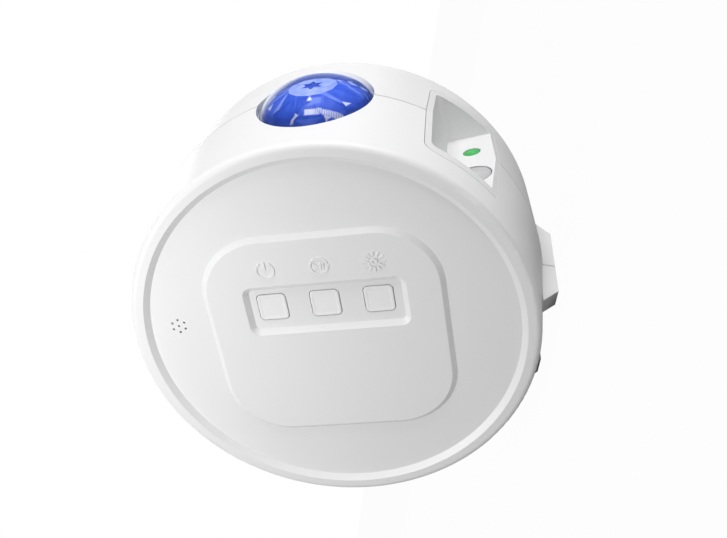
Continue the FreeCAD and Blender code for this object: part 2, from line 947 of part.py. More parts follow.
def board_screws():
    """The eight like screws of the key board and the main board."""
    length = board_thickness + small_bite - slip_gap
    seats = [Vector(x, y, key_board_top - board_thickness) for x, y in key_screw_places()]
    seats += [Vector(x, y, main_board_rear) for x, y in main_screw_places()]
    return group(screw(small_head, small_shank, length, seat, FRONT, small_head_height) for seat in seats)


def microphone():
    start = Vector(mic_x, mic_y, face_inside - mic_height - slip_gap)
    return rod(mic_radius, start, mic_height, FRONT)


def mic_boot():
    """A rubber cup that holds the microphone against the inside of the face."""
    length = mic_ring_height - slip_gap
    start = Vector(mic_x, mic_y, face_inside - length - slip_gap)
    cup = rod(mic_radius + boot_wall, start, length, FRONT)
    floor_level = face_inside - mic_height - slip_gap
    return cup.cut(rod(mic_radius, Vector(mic_x, mic_y, floor_level), mic_height + overrun, FRONT))


def control_chip():
    half = chip_package_side / 2
    return block((chip_package_x - half, chip_package_x + half), (main_board_y - half, main_board_y + half),
                 (main_board_rear - chip_package_height, main_board_rear))


def capacitors():
    places = [Vector(capacitor_x, main_board_y + step * capacitor_spacing, main_board_rear)
              for step in (-1, 0, 1)]
    return group(rod(capacitor_radius, place, capacitor_height, FRONT * -1) for place in places)


def header_places():
    """Centres of the plug headers along the upper edge of the main board."""
    y = main_board_y + main_board_half_height - header_depth
    first = -(header_count - 1) / 2 * header_spacing
    return [Vector(first + index * header_spacing, y, main_board_rear) for index in range(header_count)]


def plug_headers():
    wide = header_width / 2
    deep = header_depth / 2
    span = (main_board_rear - header_height, main_board_rear)
    return group(block((place.x - wide, place.x + wide), (place.y - deep, place.y + deep), span)
                 for place in header_places())


def dome_ring(radius, height, phase):
    steps = [2 * math.pi * (index + phase) / dome_facets for index in range(dome_facets)]
    return [Vector(radius * math.cos(step), height, radius * math.sin(step)) for step in steps]


def faceted_cap():
    """The cut outside of the dome: rings of points on a sphere, joined by triangles."""
    sphere = (dome_radius ** 2 + dome_height ** 2) / (2 * dome_height)
    sunk = sphere - dome_height
    rings = [dome_ring(dome_radius, dome_plane, 0)]
    for index, share in enumerate(dome_ring_shares):
        radius = dome_radius * share
        height = dome_plane - sunk + math.sqrt(sphere ** 2 - radius ** 2)
        rings.append(dome_ring(radius, height, (index + 1) % 2 / 2))
    faces = [Part.Face(Part.makePolygon(ring + ring[:1])) for ring in (rings[0], rings[-1])]
    for number, (lower, upper) in enumerate(zip(rings, rings[1:])):
        for index in range(dome_facets):
            after = (index + 1) % dome_facets
            a, b = lower[index], lower[after]
            c, d = upper[index], upper[after]
            halves = ((a, b, c), (b, d, c)) if number % 2 == 0 else ((a, d, c), (a, b, d))
            faces += [Part.Face(Part.makePolygon([*half, half[0]])) for half in halves]
    return Part.makeSolid(Part.makeShell(faces))


def nebula_dome():
    """A blue faceted cap over a plain neck and a flange that the housing clamps."""
    neck = rod(dome_radius, BEAM * collar_under, dome_neck_drop, BEAM)
    flange = rod(dome_flange_radius, BEAM * flange_under, dome_flange_height, BEAM)
    inner = dome_radius - dome_wall
    rise = dome_height - dome_wall
    curve = (inner ** 2 + rise ** 2) / (2 * rise)
    ball = Part.makeSphere(curve, BEAM * (dome_plane + rise - curve))
    above = rod(inner, BEAM * dome_plane, seam_radius, BEAM)
    hollow = joined([ball.common(above), rod(inner, BEAM * (flange_under - overrun),
                                             dome_plane - flange_under + overrun, BEAM)])
    return joined([faceted_cap(), neck, flange]).cut(hollow)


def spokes():
    """Arms across the light hole that carry the disc's axle."""
    arm = block((0, light_hole + lens_tube_wall), (-spoke_width / 2, spoke_width / 2), (0, deck_thickness))
    arms = joined([around(arm, 90 + 360 * index / spoke_count) for index in range(spoke_count)])
    return along_beam(arms, 0, deck_under)


def nebula_housing():
    """Cup for the ripple disc, deck, lens tube and lamp foot in one moulding."""
    cup = rod(cup_outer, BEAM * deck_under, flange_under - deck_under, BEAM)
    room = rod(cup_inner, BEAM * deck_top, flange_under, BEAM)
    pocket_inner = pinion_pitch_radius + gear_module + pocket_clearance
    pocket = rod(pocket_inner + pocket_wall, Vector(pinion_x, deck_under, 0), pocket_rise, BEAM)
    pocket_room = rod(pocket_inner, Vector(pinion_x, deck_top, 0), pocket_rise + overrun, BEAM)
    pocket_room = pocket_room.common(block((pinion_x - pocket_inner, -light_hole),
                                           (0, deck_under + pocket_rise), (-pocket_inner, pocket_inner)))
    pocket_top = rod(pocket_inner, Vector(pinion_x, deck_top, 0),
                     deck_under + pocket_rise - deck_top, BEAM)
    deck = block((-deck_half_width, deck_half_width), (deck_under, deck_top),
                 (-deck_half_depth, deck_half_depth))
    tube = rod(light_hole + lens_tube_wall, BEAM * lens_tube_foot, lens_tube_height, BEAM)
    foot_top = lens_tube_foot + lamp_foot_height
    lamp_foot = block((-lamp_half_width, lamp_half_width), (lens_tube_foot, foot_top),
                      (-lamp_half_depth, lamp_half_depth))
    bosses = [rod(lamp_boss_radius, Vector(0, lens_tube_foot, side * lamp_screw_place), lamp_boss_height,
                  BEAM) for side in (-1, 1)]
    tabs = [block((side * (deck_half_width - tab_width), side * deck_half_width),
                  (deck_top - tab_height, deck_top), (-deck_half_depth, -deck_half_depth + tab_thickness))
            for side in (-1, 1)]
    body = joined([cup, pocket, deck, tube, lamp_foot] + bosses + tabs)
    ledge_level = deck_under - lens_ledge_height
    light_way = rod(light_hole, BEAM * (lens_tube_foot - overrun),
                    ledge_level - lens_tube_foot + overrun, BEAM)
    ledge_way = rod(light_hole - lens_ledge, BEAM * ledge_level, deck_thickness + overrun, BEAM)
    body = body.cut(joined([room, pocket_room, pocket_top])).cut(joined([light_way, ledge_way]))
    hub = rod(hub_radius, BEAM * deck_under, deck_thickness + hub_rise, BEAM)
    axle_bore = rod(axle_radius, BEAM * (deck_under - overrun), seam_radius, BEAM)
    body = joined([body, hub, spokes()]).cut(axle_bore)
    holes = [rod(small_shank + slip_gap, Vector(x, y, -deck_half_depth - overrun),
                 tab_thickness + 2 * overrun, FRONT) for x, y in tab_screw_places()]
    holes += [rod(small_shank, Vector(0, lens_tube_foot - overrun, side * lamp_screw_place),
                  small_bite + overrun, BEAM) for side in (-1, 1)]
    holes += [rod(small_shank, Vector(pinion_x, deck_under - overrun, side * motor_ear_place),
                  deck_thickness + 2 * overrun, BEAM) for side in (-1, 1)]
    holes.append(rod(motor_neck_radius + slip_gap, Vector(pinion_x, deck_under - overrun, 0),
                     deck_thickness + 2 * overrun, BEAM))
    return body.cut(Part.makeCompound(holes))


def housing_screws():
    level = -deck_half_depth + tab_thickness
    return group(small_screw(tab_thickness, Vector(x, y, level), FRONT * -1) for x, y in tab_screw_places())


def disc_axle():
    length = disc_base + disc_thickness + axle_stick_out - deck_under
    return rod(axle_radius, BEAM * deck_under, length, BEAM)


def axle_clip():
    level = disc_base + disc_thickness + clip_gap
    return pipe(clip_radius, axle_radius, BEAM * level, clip_thickness, BEAM)


def ripple_disc():
    """A clear toothed disc whose upper side has round ripples."""
    disc = gear(disc_teeth, disc_thickness)
    widest = disc_pitch_radius - ripple_edge
    step = (widest - hub_radius - ripple_width) / (ripple_count - 1)
    for index in range(ripple_count):
        inner = hub_radius + index * step
        ring = pipe(inner + ripple_width, inner, FRONT * (disc_thickness - ripple_depth),
                    ripple_depth + overrun, FRONT)
        disc = disc.cut(ring)
    bore = rod(axle_radius + running_gap, FRONT * -overrun, disc_thickness + 2 * overrun, FRONT)
    return along_beam(disc.cut(bore), 0, disc_base)


def motor_pinion():
    """The pinion, turned half a tooth so that a gap faces the disc."""
    pinion = around(gear(pinion_teeth, disc_thickness + 2 * pinion_overlap), 180 / pinion_teeth)
    bore = rod(motor_shaft_radius, FRONT * -overrun, disc_thickness + 2 * overrun + 2 * pinion_overlap, FRONT)
    return along_beam(pinion.cut(bore), pinion_x, disc_base - pinion_overlap)


def motor_shaft():
    foot_level = deck_under - motor_shaft_socket
    top = disc_base + disc_thickness + pinion_overlap
    return rod(motor_shaft_radius, Vector(pinion_x, foot_level, 0), top - foot_level, BEAM)


def drive_motor():
    """A flat gear motor with two ears, hung under the deck."""
    base = Vector(pinion_x, deck_under - motor_height, 0)
    can = rod(motor_radius, base, motor_height, BEAM)
    neck = rod(motor_neck_radius, Vector(pinion_x, deck_under, 0), motor_neck_height, BEAM)
    ear_level = deck_under - motor_ear_thickness
    ears = [rod(motor_ear_radius, Vector(pinion_x, ear_level, side * motor_ear_place),
                motor_ear_thickness, BEAM) for side in (-1, 1)]
    body = joined([can, neck] + ears)
    bore = rod(motor_shaft_radius + running_gap,
               Vector(pinion_x, deck_under - motor_shaft_socket - running_gap, 0), motor_height, BEAM)
    holes = [rod(small_shank + slip_gap, Vector(pinion_x, ear_level - overrun, side * motor_ear_place),
                 motor_ear_thickness + overrun, BEAM) for side in (-1, 1)]
    relief = [rod(small_head + slip_gap, Vector(pinion_x, base.y, side * motor_ear_place),
                  ear_level - base.y, BEAM) for side in (-1, 1)]
    return body.cut(Part.makeCompound([bore] + holes)).cut(Part.makeCompound(relief))


def motor_screws():
    level = deck_under - motor_ear_thickness
    length = motor_ear_thickness + deck_thickness
    return group(screw(small_head, small_shank, length, Vector(pinion_x, level, side * motor_ear_place), BEAM,
                       small_head_height) for side in (-1, 1))


def collimator_lens():
    """A domed lens on a skirt that stands on the lamp board."""
    radius = light_hole - slip_gap
    top = lamp_top + lens_skirt_height + lens_height
    rim = deck_under - lens_ledge_height
    body = rod(radius, BEAM * lamp_top, rim - lamp_top, BEAM)
    inner = radius - lens_skirt_wall
    body = body.cut(rod(inner, BEAM * lamp_top, lens_skirt_height, BEAM))
    curve = (inner ** 2 + lens_crown ** 2) / (2 * lens_crown)
    crown = Part.makeSphere(curve, BEAM * (top - curve))
    crown = crown.common(rod(inner, BEAM * (top - lens_crown), lens_crown, BEAM))
    room = rod(inner, BEAM * (top - lens_crown), rim - top + lens_crown, BEAM)
    return joined([body.cut(room), crown])


def lamp_plate(low, high):
    """A plate of the lamp stack with its two screw holes."""
    plate = block((-lamp_half_width, lamp_half_width), (low, high), (-lamp_half_depth, lamp_half_depth))
    holes = [rod(small_shank + slip_gap, Vector(0, low - overrun, side * lamp_screw_place),
                 high - low + 2 * overrun, BEAM) for side in (-1, 1)]
    return plate.cut(Part.makeCompound(holes))


def led_board():
    return lamp_plate(lamp_under, lamp_top)


def led_emitters():
    """Four lamps of different colours in a square under the lens."""
    half = chip_side / 2
    return group(block((x - half, x + half), (lamp_top, lamp_top + chip_height), (z - half, z + half))
                 for x, z in corners(chip_spacing / 2, chip_spacing / 2, (0, 0)))


def heat_sink():
    base_under = lamp_under - sink_base
    fins = []
    for share in fin_place_shares:
        middle = share * lamp_half_width
        fins.append(block((middle - fin_thickness / 2, middle + fin_thickness / 2),
                          (base_under - fin_height, base_under), (-lamp_half_depth, lamp_half_depth)))
    return joined([lamp_plate(base_under, lamp_under)] + fins)


def led_screws():
    level = lamp_under - sink_base
    grip = sink_base + lamp_board_thickness
    return group(screw(small_head, small_shank, grip + small_bite - slip_gap,
                       Vector(0, level, side * lamp_screw_place), BEAM, small_head_height)
                 for side in (-1, 1))


def bay_room(grow):
    """The space that the laser bay's walls take inside the drum, in p and q."""
    half = bay_half_width + bay_wall + grow
    far = seam_radius + overrun
    return block((bay_left - bay_wall - grow, far), (bay_under - grow, far), (-half, half))


def bracket_places(height):
    """The two screws of the laser bracket, at a height along the bay's beams."""
    return [Vector(bay_left + along, height, z) for along, z in bracket_posts]


def window_seat(p, z, radius):
    """The stepped hole through the bay's floor that one window sits in."""
    level = bay_floor - window_sink - window_thickness
    seat = rod(radius + running_gap, Vector(p, level, z), window_thickness + overrun, BEAM)
    return joined([seat, rod(radius - window_ledge, Vector(p, bay_under - overrun, z), 2 * overrun, BEAM)])


def laser_bay():
    """The notched insert: a flush frame, thin walls, a floor with two windows and a screw ear."""
    drum = outer_drum()
    skin = drum.cut(drum_cavity())
    frame = bay_footprint(0).common(skin)
    walls = bay_room(0).common(drum)
    far = seam_radius + 2 * overrun
    notch = rounded((far - bay_left) / 2, bay_half_width, bay_inner_corner, ((far + bay_left) / 2, 0),
                    (0, far))
    notch.rotate(ORIGIN, ACROSS, -90)
    notch = notch.common(block((0, far), (bay_floor, far), (-far, far)))
    body = joined([frame, walls]).cut(notch)
    ear = block((ear_left, ear_right), (bay_under - ear_drop, bay_under + bay_wall), (ear_back, ear_front))
    body = joined([body, ear.common(solid_drum(plastic_wall + slip_gap, rear_inside, face_inside))])
    posts = [rod(bracket_post_radius, place, bay_under + bay_wall / 2 - bracket_top, BEAM)
             for place in bracket_places(bracket_top)]
    body = joined([body] + posts)
    pilots = [rod(small_shank, place, small_bite + overrun, BEAM)
              for place in bracket_places(bracket_top - overrun)]
    body = body.cut(Part.makeCompound(pilots)).cut(window_seat(laser_p, laser_z, laser_window_radius))
    body = body.cut(window_seat(moon_p, moon_z, moon_window_radius))
    holes = [rod(small_shank + slip_gap, Vector(x, y, ear_back - overrun), ear_thickness + 2 * overrun, FRONT)
             for x, y in ear_screw_places()]
    return in_bay(body).cut(Part.makeCompound(holes))


def bay_screws():
    grip = ear_front - ear_back
    return group(small_screw(grip, Vector(x, y, ear_front), FRONT * -1) for x, y in ear_screw_places())


def window(p, z, radius):
    level = bay_floor - window_sink - window_thickness
    return in_bay(rod(radius, Vector(p, level, z), window_thickness, BEAM))


def laser_bracket():
    """The aluminium plate under the bay that holds the laser, its grating motor and the moon barrel."""
    low = bracket_top - bracket_thickness
    plate = block((bracket_left, bracket_right), (low, bracket_top),
                  (-bracket_half_depth, bracket_half_depth))
    places = [(laser_p, laser_z, laser_radius + running_gap)]
    places += [(wheel_p, laser_z, grating_motor_radius + running_gap)]
    places += [(moon_p, moon_z, barrel_radius + running_gap)]
    places += [(place.x, place.z, small_shank + slip_gap) for place in bracket_places(low)]
    holes = [rod(radius, Vector(p, low - overrun, z), bracket_thickness + 2 * overrun, BEAM)
             for p, z, radius in places]
    return in_bay(plate.cut(Part.makeCompound(holes)))


def bracket_screws():
    low = bracket_top - bracket_thickness
    bite = bracket_thickness + small_bite - slip_gap
    return group(in_bay(screw(small_head, small_shank, bite, place, BEAM, small_head_height))
                 for place in bracket_places(low))


def laser_module():
    return in_bay(rod(laser_radius, Vector(laser_p, laser_top - laser_length, laser_z), laser_length, BEAM))


def grating_motor():
    base = Vector(wheel_p, grating_motor_top - grating_motor_length, laser_z)
    can = rod(grating_motor_radius, base, grating_motor_length, BEAM)
    bore = rod(grating_shaft_radius + running_gap, base + BEAM * (grating_motor_length - grating_socket),
               grating_motor_length, BEAM)
    return in_bay(can.cut(bore))


def grating_shaft():
    low = grating_motor_top - grating_socket + running_gap
    top = wheel_base + wheel_thickness + wheel_hub_rise
    return in_bay(rod(grating_shaft_radius, Vector(wheel_p, low, laser_z), top - low, BEAM))


def grating_wheel():
    """The etched wheel that spreads the laser into stars, on its hub."""
    disc = rod(wheel_radius, Vector(wheel_p, wheel_base, laser_z), wheel_thickness, BEAM)
    hub_low = wheel_base - wheel_hub_drop
    hub = rod(wheel_hub_radius, Vector(wheel_p, hub_low, laser_z),
              wheel_hub_drop + wheel_thickness + wheel_hub_rise, BEAM)
    bore = rod(grating_shaft_radius, Vector(wheel_p, hub_low - overrun, laser_z), wheel_radius, BEAM)
    return in_bay(joined([disc, hub]).cut(bore))


def moon_barrel():
    start = Vector(moon_p, bay_under - barrel_length, moon_z)
    return in_bay(pipe(barrel_radius, barrel_radius - barrel_wall, start, barrel_length, BEAM))


def moon_slide():
    start = Vector(moon_p, bay_under - barrel_length + slide_place, moon_z)
    return in_bay(rod(barrel_radius - barrel_wall - running_gap, start, slide_thickness, BEAM))


def moon_led_board():
    start = Vector(moon_p, bay_under - barrel_length, moon_z)
    return in_bay(rod(barrel_radius, start, moon_board_thickness, BEAM * -1))


def at_speaker(shape):
    """A shape drawn about z above the rear wall, moved to the speaker's place."""
    return moved(shape, Vector(speaker_x, speaker_y, rear_inside))


def speaker_frame():
    """A pressed basket with a flat rim and four ears."""
    rim = speaker_seat + speaker_flange
    end = speaker_seat + speaker_depth
    ring = pipe(speaker_radius, speaker_cone_radius, FRONT * speaker_seat, speaker_flange, FRONT)
    slant = [(speaker_cone_radius, speaker_seat), (speaker_cone_radius + speaker_sheet, speaker_seat)]
    slant += [(speaker_neck + speaker_sheet, end), (speaker_neck, end)]
    floor = rod(speaker_neck + speaker_sheet, FRONT * end, speaker_sheet, FRONT)
    ears = []
    for x, y in speaker_screw_places():
        place = Vector(x - speaker_x, y - speaker_y, speaker_seat)
        ear = rod(speaker_ear_radius, place, speaker_flange, FRONT)
        ears.append(ear.cut(rod(speaker_radius - speaker_ear_radius, ORIGIN, rim, FRONT)))
    body = joined([ring, spun(slant, FRONT), floor] + ears)
    holes = [rod(small_shank + slip_gap, Vector(x - speaker_x, y - speaker_y, 0), 2 * overrun, FRONT)
             for x, y in speaker_screw_places()]
    return at_speaker(body.cut(Part.makeCompound(holes)))


def speaker_magnet():
    level = speaker_seat + speaker_depth + speaker_sheet
    return at_speaker(rod(magnet_radius, FRONT * level, magnet_height, FRONT))


def speaker_cone():
    """The paper cone with its flat rim on the frame and a closed middle."""
    wide = speaker_cone_radius
    low = speaker_seat - cone_sheet
    end = low + cone_depth
    inner = wide - cone_rim
    rim = wide + cone_rim - cone_rim_gap
    profile = [(rim, low), (rim, speaker_seat)]
    profile += [(inner, speaker_seat), (cone_neck, end + cone_sheet), (0, end + cone_sheet)]
    profile += [(0, end), (cone_neck, end), (inner, low)]
    return at_speaker(spun(profile, FRONT))


def speaker_gasket():
    inner = speaker_cone_radius + cone_rim
    return at_speaker(pipe(speaker_radius, inner, ORIGIN, speaker_seat, FRONT))


def speaker_screws():
    level = rear_inside + speaker_seat + speaker_flange
    length = speaker_flange + speaker_bite - slip_gap
    return group(screw(small_head, small_shank, length, Vector(x, y, level), FRONT * -1, small_head_height)
                 for x, y in speaker_screw_places())


def usb_socket():
    """A steel socket with a hollow mouth towards the rear and a tongue inside."""
    mouth = -half_depth + usb_sink
    shell = usb_form(0, usb_depth, mouth)
    room = usb_form(-usb_skin, usb_depth - 2 * usb_skin, mouth - usb_skin)
    half = usb_tongue_height / 2
    tongue = block((usb_x - half, usb_x + half), (usb_y - usb_tongue_width / 2, usb_y + usb_tongue_width / 2),
                   (mouth + usb_depth - 2 * usb_skin - usb_tongue_length, mouth + usb_depth))
    return joined([shell.cut(room), tongue])


def power_board():
    low, high = usb_board_span()
    return block((low, high), (usb_y - usb_board_half_height, usb_y + usb_board_half_height),
                 (rear_inside, rear_inside + usb_board_length))


def lead(points):
    """A round lead through the points: straight runs joined by arcs that touch them."""
    edges = []
    here = points[0]
    for before, corner, after in zip(points, points[1:], points[2:]):
        into = (corner - before).normalize()
        away = (after - corner).normalize()
        turn = into.getAngle(away)
        run = min((corner - before).Length, (after - corner).Length)
        cut_back = run * lead_bend_share
        radius = cut_back / math.tan(turn / 2)
        start = corner - into * cut_back
        end = corner + away * cut_back
        bisector = (away - into).normalize()
        centre = corner + bisector * (radius / math.cos(turn / 2))
        middle = centre - bisector * radius
        edges.append(Part.LineSegment(here, start).toShape())
        edges.append(Part.Arc(start, middle, end).toShape())
        here = end
    edges.append(Part.LineSegment(here, points[-1]).toShape())
    path = Part.Wire(edges)
    first = (points[1] - points[0]).normalize()
    ring = Part.Wire(Part.Circle(points[0], first, lead_radius).toShape())
    return path.makePipeShell([ring], True, True)


def header_end(index):
    """Where a lead leaves its plug header, and the point that it drops to behind the main board."""
    place = header_places()[index]
    end = Vector(place.x, place.y, main_board_rear - header_height)
    return [end, end - FRONT * lead_drop]


def motor_lead():
    end = Vector(pinion_x + dome_shift, deck_under - motor_height, 0)
    return lead(header_end(0) + [Vector(end.x, motor_lead_turn, 0), end])


def speaker_lead():
    """Runs down to the flat rim of the speaker's frame."""
    reach = (speaker_radius + speaker_cone_radius + cone_rim) / 2
    turn = math.radians(speaker_lead_angle)
    x = speaker_x + reach * math.cos(turn)
    y = speaker_y + reach * math.sin(turn)
    end = Vector(x, y, rear_inside + speaker_seat + speaker_flange)
    return lead(header_end(1) + [end + FRONT * 2 * lead_drop, end])


def lamp_lead():
    """Runs round in front of the heat sink to the edge of the lamp board."""
    level = lamp_under + lamp_board_thickness / 2
    start = header_end(2)
    x = start[0].x
    end = Vector(x, level, lamp_half_depth)
    turns = [Vector(x, lamp_lead_low, start[0].z), Vector(x, 2 * lamp_lead_low, lamp_lead_level)]
    return lead(start + turns + [Vector(x, level, lamp_lead_level), end])


def laser_lead():
    """Runs up to the foot of the laser module, along the bay's beams at its end."""
    turned = Rotation(FRONT, bay_turn)
    end = turned.multVec(Vector(laser_p, laser_top - laser_length, laser_z))
    below = turned.multVec(Vector(laser_p, laser_top - laser_length - laser_lead_rise, laser_z))
    start = header_end(3)
    return lead(start + [Vector(laser_lead_turn, start[0].y / 2, laser_z), below, end])


def power_lead():
    low, high = usb_board_span()
    end = Vector((low + high) / 2, usb_y, rear_inside + usb_board_length)
    return lead(header_end(4) + [Vector(end.x, end.y, 0), end])


def key_ribbon():
    """A flat folded strip from the key board down to the main board."""
    upper = button_row - key_board_half_height + ribbon_inset
    lower = main_board_y + main_board_half_height - ribbon_inset
    top = key_board_top - board_thickness
    right = [(upper, top), (upper, ribbon_level), (lower + ribbon_sheet, ribbon_level)]
    right += [(lower + ribbon_sheet, main_board_front)]
    left = [(lower, main_board_front), (lower, ribbon_level + ribbon_sheet)]
    left += [(upper - ribbon_sheet, ribbon_level + ribbon_sheet), (upper - ribbon_sheet, top)]
    points = [Vector(-ribbon_half_width, y, z) for y, z in right + left]
    return Part.Face(Part.makePolygon(points + points[:1])).extrude(ACROSS * 2 * ribbon_half_width)


def stood(shape):
    """Turns a piece from the drum frame to the standing one: feet down, drum axis level."""
    standing = shape.copy()
    standing.rotate(ORIGIN, FRONT, -90 - ground_angle)
    standing.rotate(ORIGIN, ACROSS, 90)
    return moved(standing, FRONT * rest_distance)


def all_pieces():
    """Every piece by its node name, in the drum frame."""
    pieces = {
        "front_shell": front_shell(),
        "rear_shell": rear_shell(),
        "shell_screws": shell_screws(),
        "foot_pads": foot_pads(),
        "nebula_dome": at_dome(nebula_dome()),
        "nebula_housing": at_dome(nebula_housing()),
        "housing_screws": at_dome(housing_screws()),
        "disc_axle": at_dome(disc_axle()),
        "axle_clip": at_dome(axle_clip()),
        "ripple_disc": at_dome(ripple_disc()),
        "motor_pinion": at_dome(motor_pinion()),
        "motor_shaft": at_dome(motor_shaft()),
        "drive_motor": at_dome(drive_motor()),
        "motor_screws": at_dome(motor_screws()),
        "collimator_lens": at_dome(collimator_lens()),
        "led_board": at_dome(led_board()),
        "led_emitters": at_dome(led_emitters()),
        "heat_sink": at_dome(heat_sink()),
        "led_screws": at_dome(led_screws()),
        "laser_bay": laser_bay(),
        "bay_screws": bay_screws(),
        "laser_window": window(laser_p, laser_z, laser_window_radius),
        "moon_window": window(moon_p, moon_z, moon_window_radius),
        "laser_bracket": laser_bracket(),
        "bracket_screws": bracket_screws(),
        "laser_module": laser_module(),
        "grating_motor": grating_motor(),
        "grating_shaft": grating_shaft(),
        "grating_wheel": grating_wheel(),
        "moon_barrel": moon_barrel(),
        "moon_slide": moon_slide(),
        "moon_led_board": moon_led_board(),
        "key_board": key_board(),
        "tact_switches": tact_switches(),
        "microphone": microphone(),
        "mic_boot": mic_boot(),
        "main_board": main_board(),
        "board_screws": board_screws(),
        "control_chip": control_chip(),
        "capacitors": capacitors(),
        "plug_headers": plug_headers(),
        "speaker_frame": speaker_frame(),
        "speaker_magnet": speaker_magnet(),
        "speaker_cone": speaker_cone(),
        "speaker_gasket": speaker_gasket(),
        "speaker_screws": speaker_screws(),
        "usb_socket": usb_socket(),
        "power_board": power_board(),
        "motor_lead": motor_lead(),
        "speaker_lead": speaker_lead(),
        "lamp_lead": lamp_lead(),
        "laser_lead": laser_lead(),
        "power_lead": power_lead(),
        "key_ribbon": key_ribbon(),
    }
    for name, place in button_places().items():
        pieces[name + "_button"] = button(place)
        pieces[name + "_plunger"] = plunger(place)
    return pieces


def main():
    os.makedirs("parts", exist_ok=True)
    standing = {name: stood(shape) for name, shape in all_pieces().items()}
    box = Part.makeCompound(list(standing.values())).optimalBoundingBox()
    shift = ACROSS * -(box.XMin + box.XMax) / 2
    print("shift across", round(shift.x, 4))
    for name, shape in standing.items():
        placed = moved(shape, shift)
        print(name, len(placed.Solids), round(placed.Volume, 1), placed.isValid())
        placed.exportStep(os.path.join("parts", name + ".step"))


main()
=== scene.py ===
# %% [markdown]
# Galaxy projector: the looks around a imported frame.
# The real object is a white drum that stands on two moulded feet. A blue cut dome and a notched laser bay
# look out of its side, and a flat face with three keys closes one end.
# The frame already holds every solid part at its true place. This file gives each of them a finish and
# models the small forms that make the object read as a real one. Everything is in metres, and +Z is up.

# %% Load the frame
import math
import bmesh
import bpy
from mathutils import Matrix, Vector


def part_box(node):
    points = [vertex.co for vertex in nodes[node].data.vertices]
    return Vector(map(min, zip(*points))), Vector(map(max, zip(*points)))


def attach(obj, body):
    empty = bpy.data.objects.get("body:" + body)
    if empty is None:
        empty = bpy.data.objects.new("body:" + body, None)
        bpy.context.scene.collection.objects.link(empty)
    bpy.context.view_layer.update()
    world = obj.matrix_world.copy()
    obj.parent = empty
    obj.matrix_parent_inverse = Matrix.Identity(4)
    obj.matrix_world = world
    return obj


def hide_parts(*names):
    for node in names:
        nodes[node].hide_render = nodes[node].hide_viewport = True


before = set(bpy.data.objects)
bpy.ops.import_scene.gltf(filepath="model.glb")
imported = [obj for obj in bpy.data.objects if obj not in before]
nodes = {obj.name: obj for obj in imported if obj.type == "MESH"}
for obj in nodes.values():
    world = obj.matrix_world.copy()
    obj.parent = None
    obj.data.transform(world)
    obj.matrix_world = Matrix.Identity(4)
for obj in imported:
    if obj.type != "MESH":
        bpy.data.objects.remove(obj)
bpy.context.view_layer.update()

mm = 0.001
per_metre = 1000.0

# %% [markdown]
# The camera. The photograph looks at the control face from the side where the dome is, and it is rolled, so
# that the feet point to the right. A camera can be aimed with a track constraint, but a rolled one is easier
# to give as three directions: what is right, up and back for the photographer.

# %% Camera
camera_data = bpy.data.cameras.new("camera")
camera_data.sensor_width = 36.0
camera_data.lens = 47.15
camera = bpy.data.objects.new("camera", camera_data)
bpy.context.scene.collection.objects.link(camera)
bpy.context.scene.camera = camera
view_right = Vector((0.11401, 0.10006, -0.98843))
view_up = Vector((0.85107, 0.50343, 0.14913))
view_back = view_right.cross(view_up)
view_place = Vector((0.19422, -0.32068, 0.06239))
view_turn = Matrix((view_right, view_up, view_back)).transposed().to_4x4()
camera.matrix_world = Matrix.Translation(view_place) @ view_turn
print("camera at", [round(v, 3) for v in view_place])

# %% [markdown]
# Shader maths reads best as plain expressions. This small class wraps one socket of a node tree, so that
# a * 0.5 + b adds the right Math nodes by itself. The alternative is a long list of nodes and links, in
# which a formula can't be read any more.


# %% A socket that can be added and multiplied
class Flow:
    def __init__(self, tree, socket):
        self.tree = tree
        self.socket = socket

    def math(self, operation, *others, clamp=False):
        made = self.tree.nodes.new("ShaderNodeMath")
        made.operation = operation
        made.use_clamp = clamp
        for place, value in enumerate((self,) + others):
            feed(self.tree, value, made.inputs[place])
        return Flow(self.tree, made.outputs[0])

    def __add__(self, other):
        return self.math("ADD", other)

    def __sub__(self, other):
        return self.math("SUBTRACT", other)

    def __mul__(self, other):
        return self.math("MULTIPLY", other)

    def __truediv__(self, other):
        return self.math("DIVIDE", other)

    def __rsub__(self, other):
        return (self * -1.0).math("ADD", other)

    __radd__ = __add__
    __rmul__ = __mul__


def feed(tree, value, socket):
    """Links a flow to a socket, or sets the socket to a plain value."""
    if isinstance(value, Flow):
        tree.links.new(value.socket, socket)
    else:
        socket.default_value = value


print("socket maths ready")

# %% [markdown]
# Any other node comes from one method. It takes the node's type, its settings, and the values or links of
# its sockets, by name or, where two sockets share one name, by number. Written out, each node would take
# three or four lines. The floor and the world use the method too.


# %% The nodes of one tree
class Nodes:
    def __init__(self, tree):
        self.tree = tree
        self.tree.nodes.clear()

    def node(self, kind, settings=None, output=0, numbered=None, **named):
        """Makes one node and gives the flow of one of its outputs."""
        made = self.tree.nodes.new(kind)
        for key, value in (settings or {}).items():
            if key == "stops":
                self.set_stops(made.color_ramp, value)
            else:
                setattr(made, key, value)
        for number, value in (numbered or {}).items():
            feed(self.tree, value, made.inputs[number])
        for key, value in named.items():
            feed(self.tree, value, made.inputs[key.replace("_", " ")])
        return Flow(self.tree, made.outputs[output]) if made.outputs else None

    def set_stops(self, band, stops):
        """Gives a colour ramp its stops, each a position and a colour."""
        while len(band.elements) < len(stops):
            band.elements.new(0.5)
        for element, (position, colour) in zip(band.elements, stops):
            element.position = position
            element.color = (*colour, 1.0)


print("node method ready")

# %% [markdown]
# One finish is one material. Its patterns could read a map of the surface, but none of these pieces needs
# unwrapping. They read Object coordinates, which stay with the piece when it moves. Most patterns on this
# object follow the drum or the laser bay, so a finish can also give the same point in the frame of either,
# in millimetres.


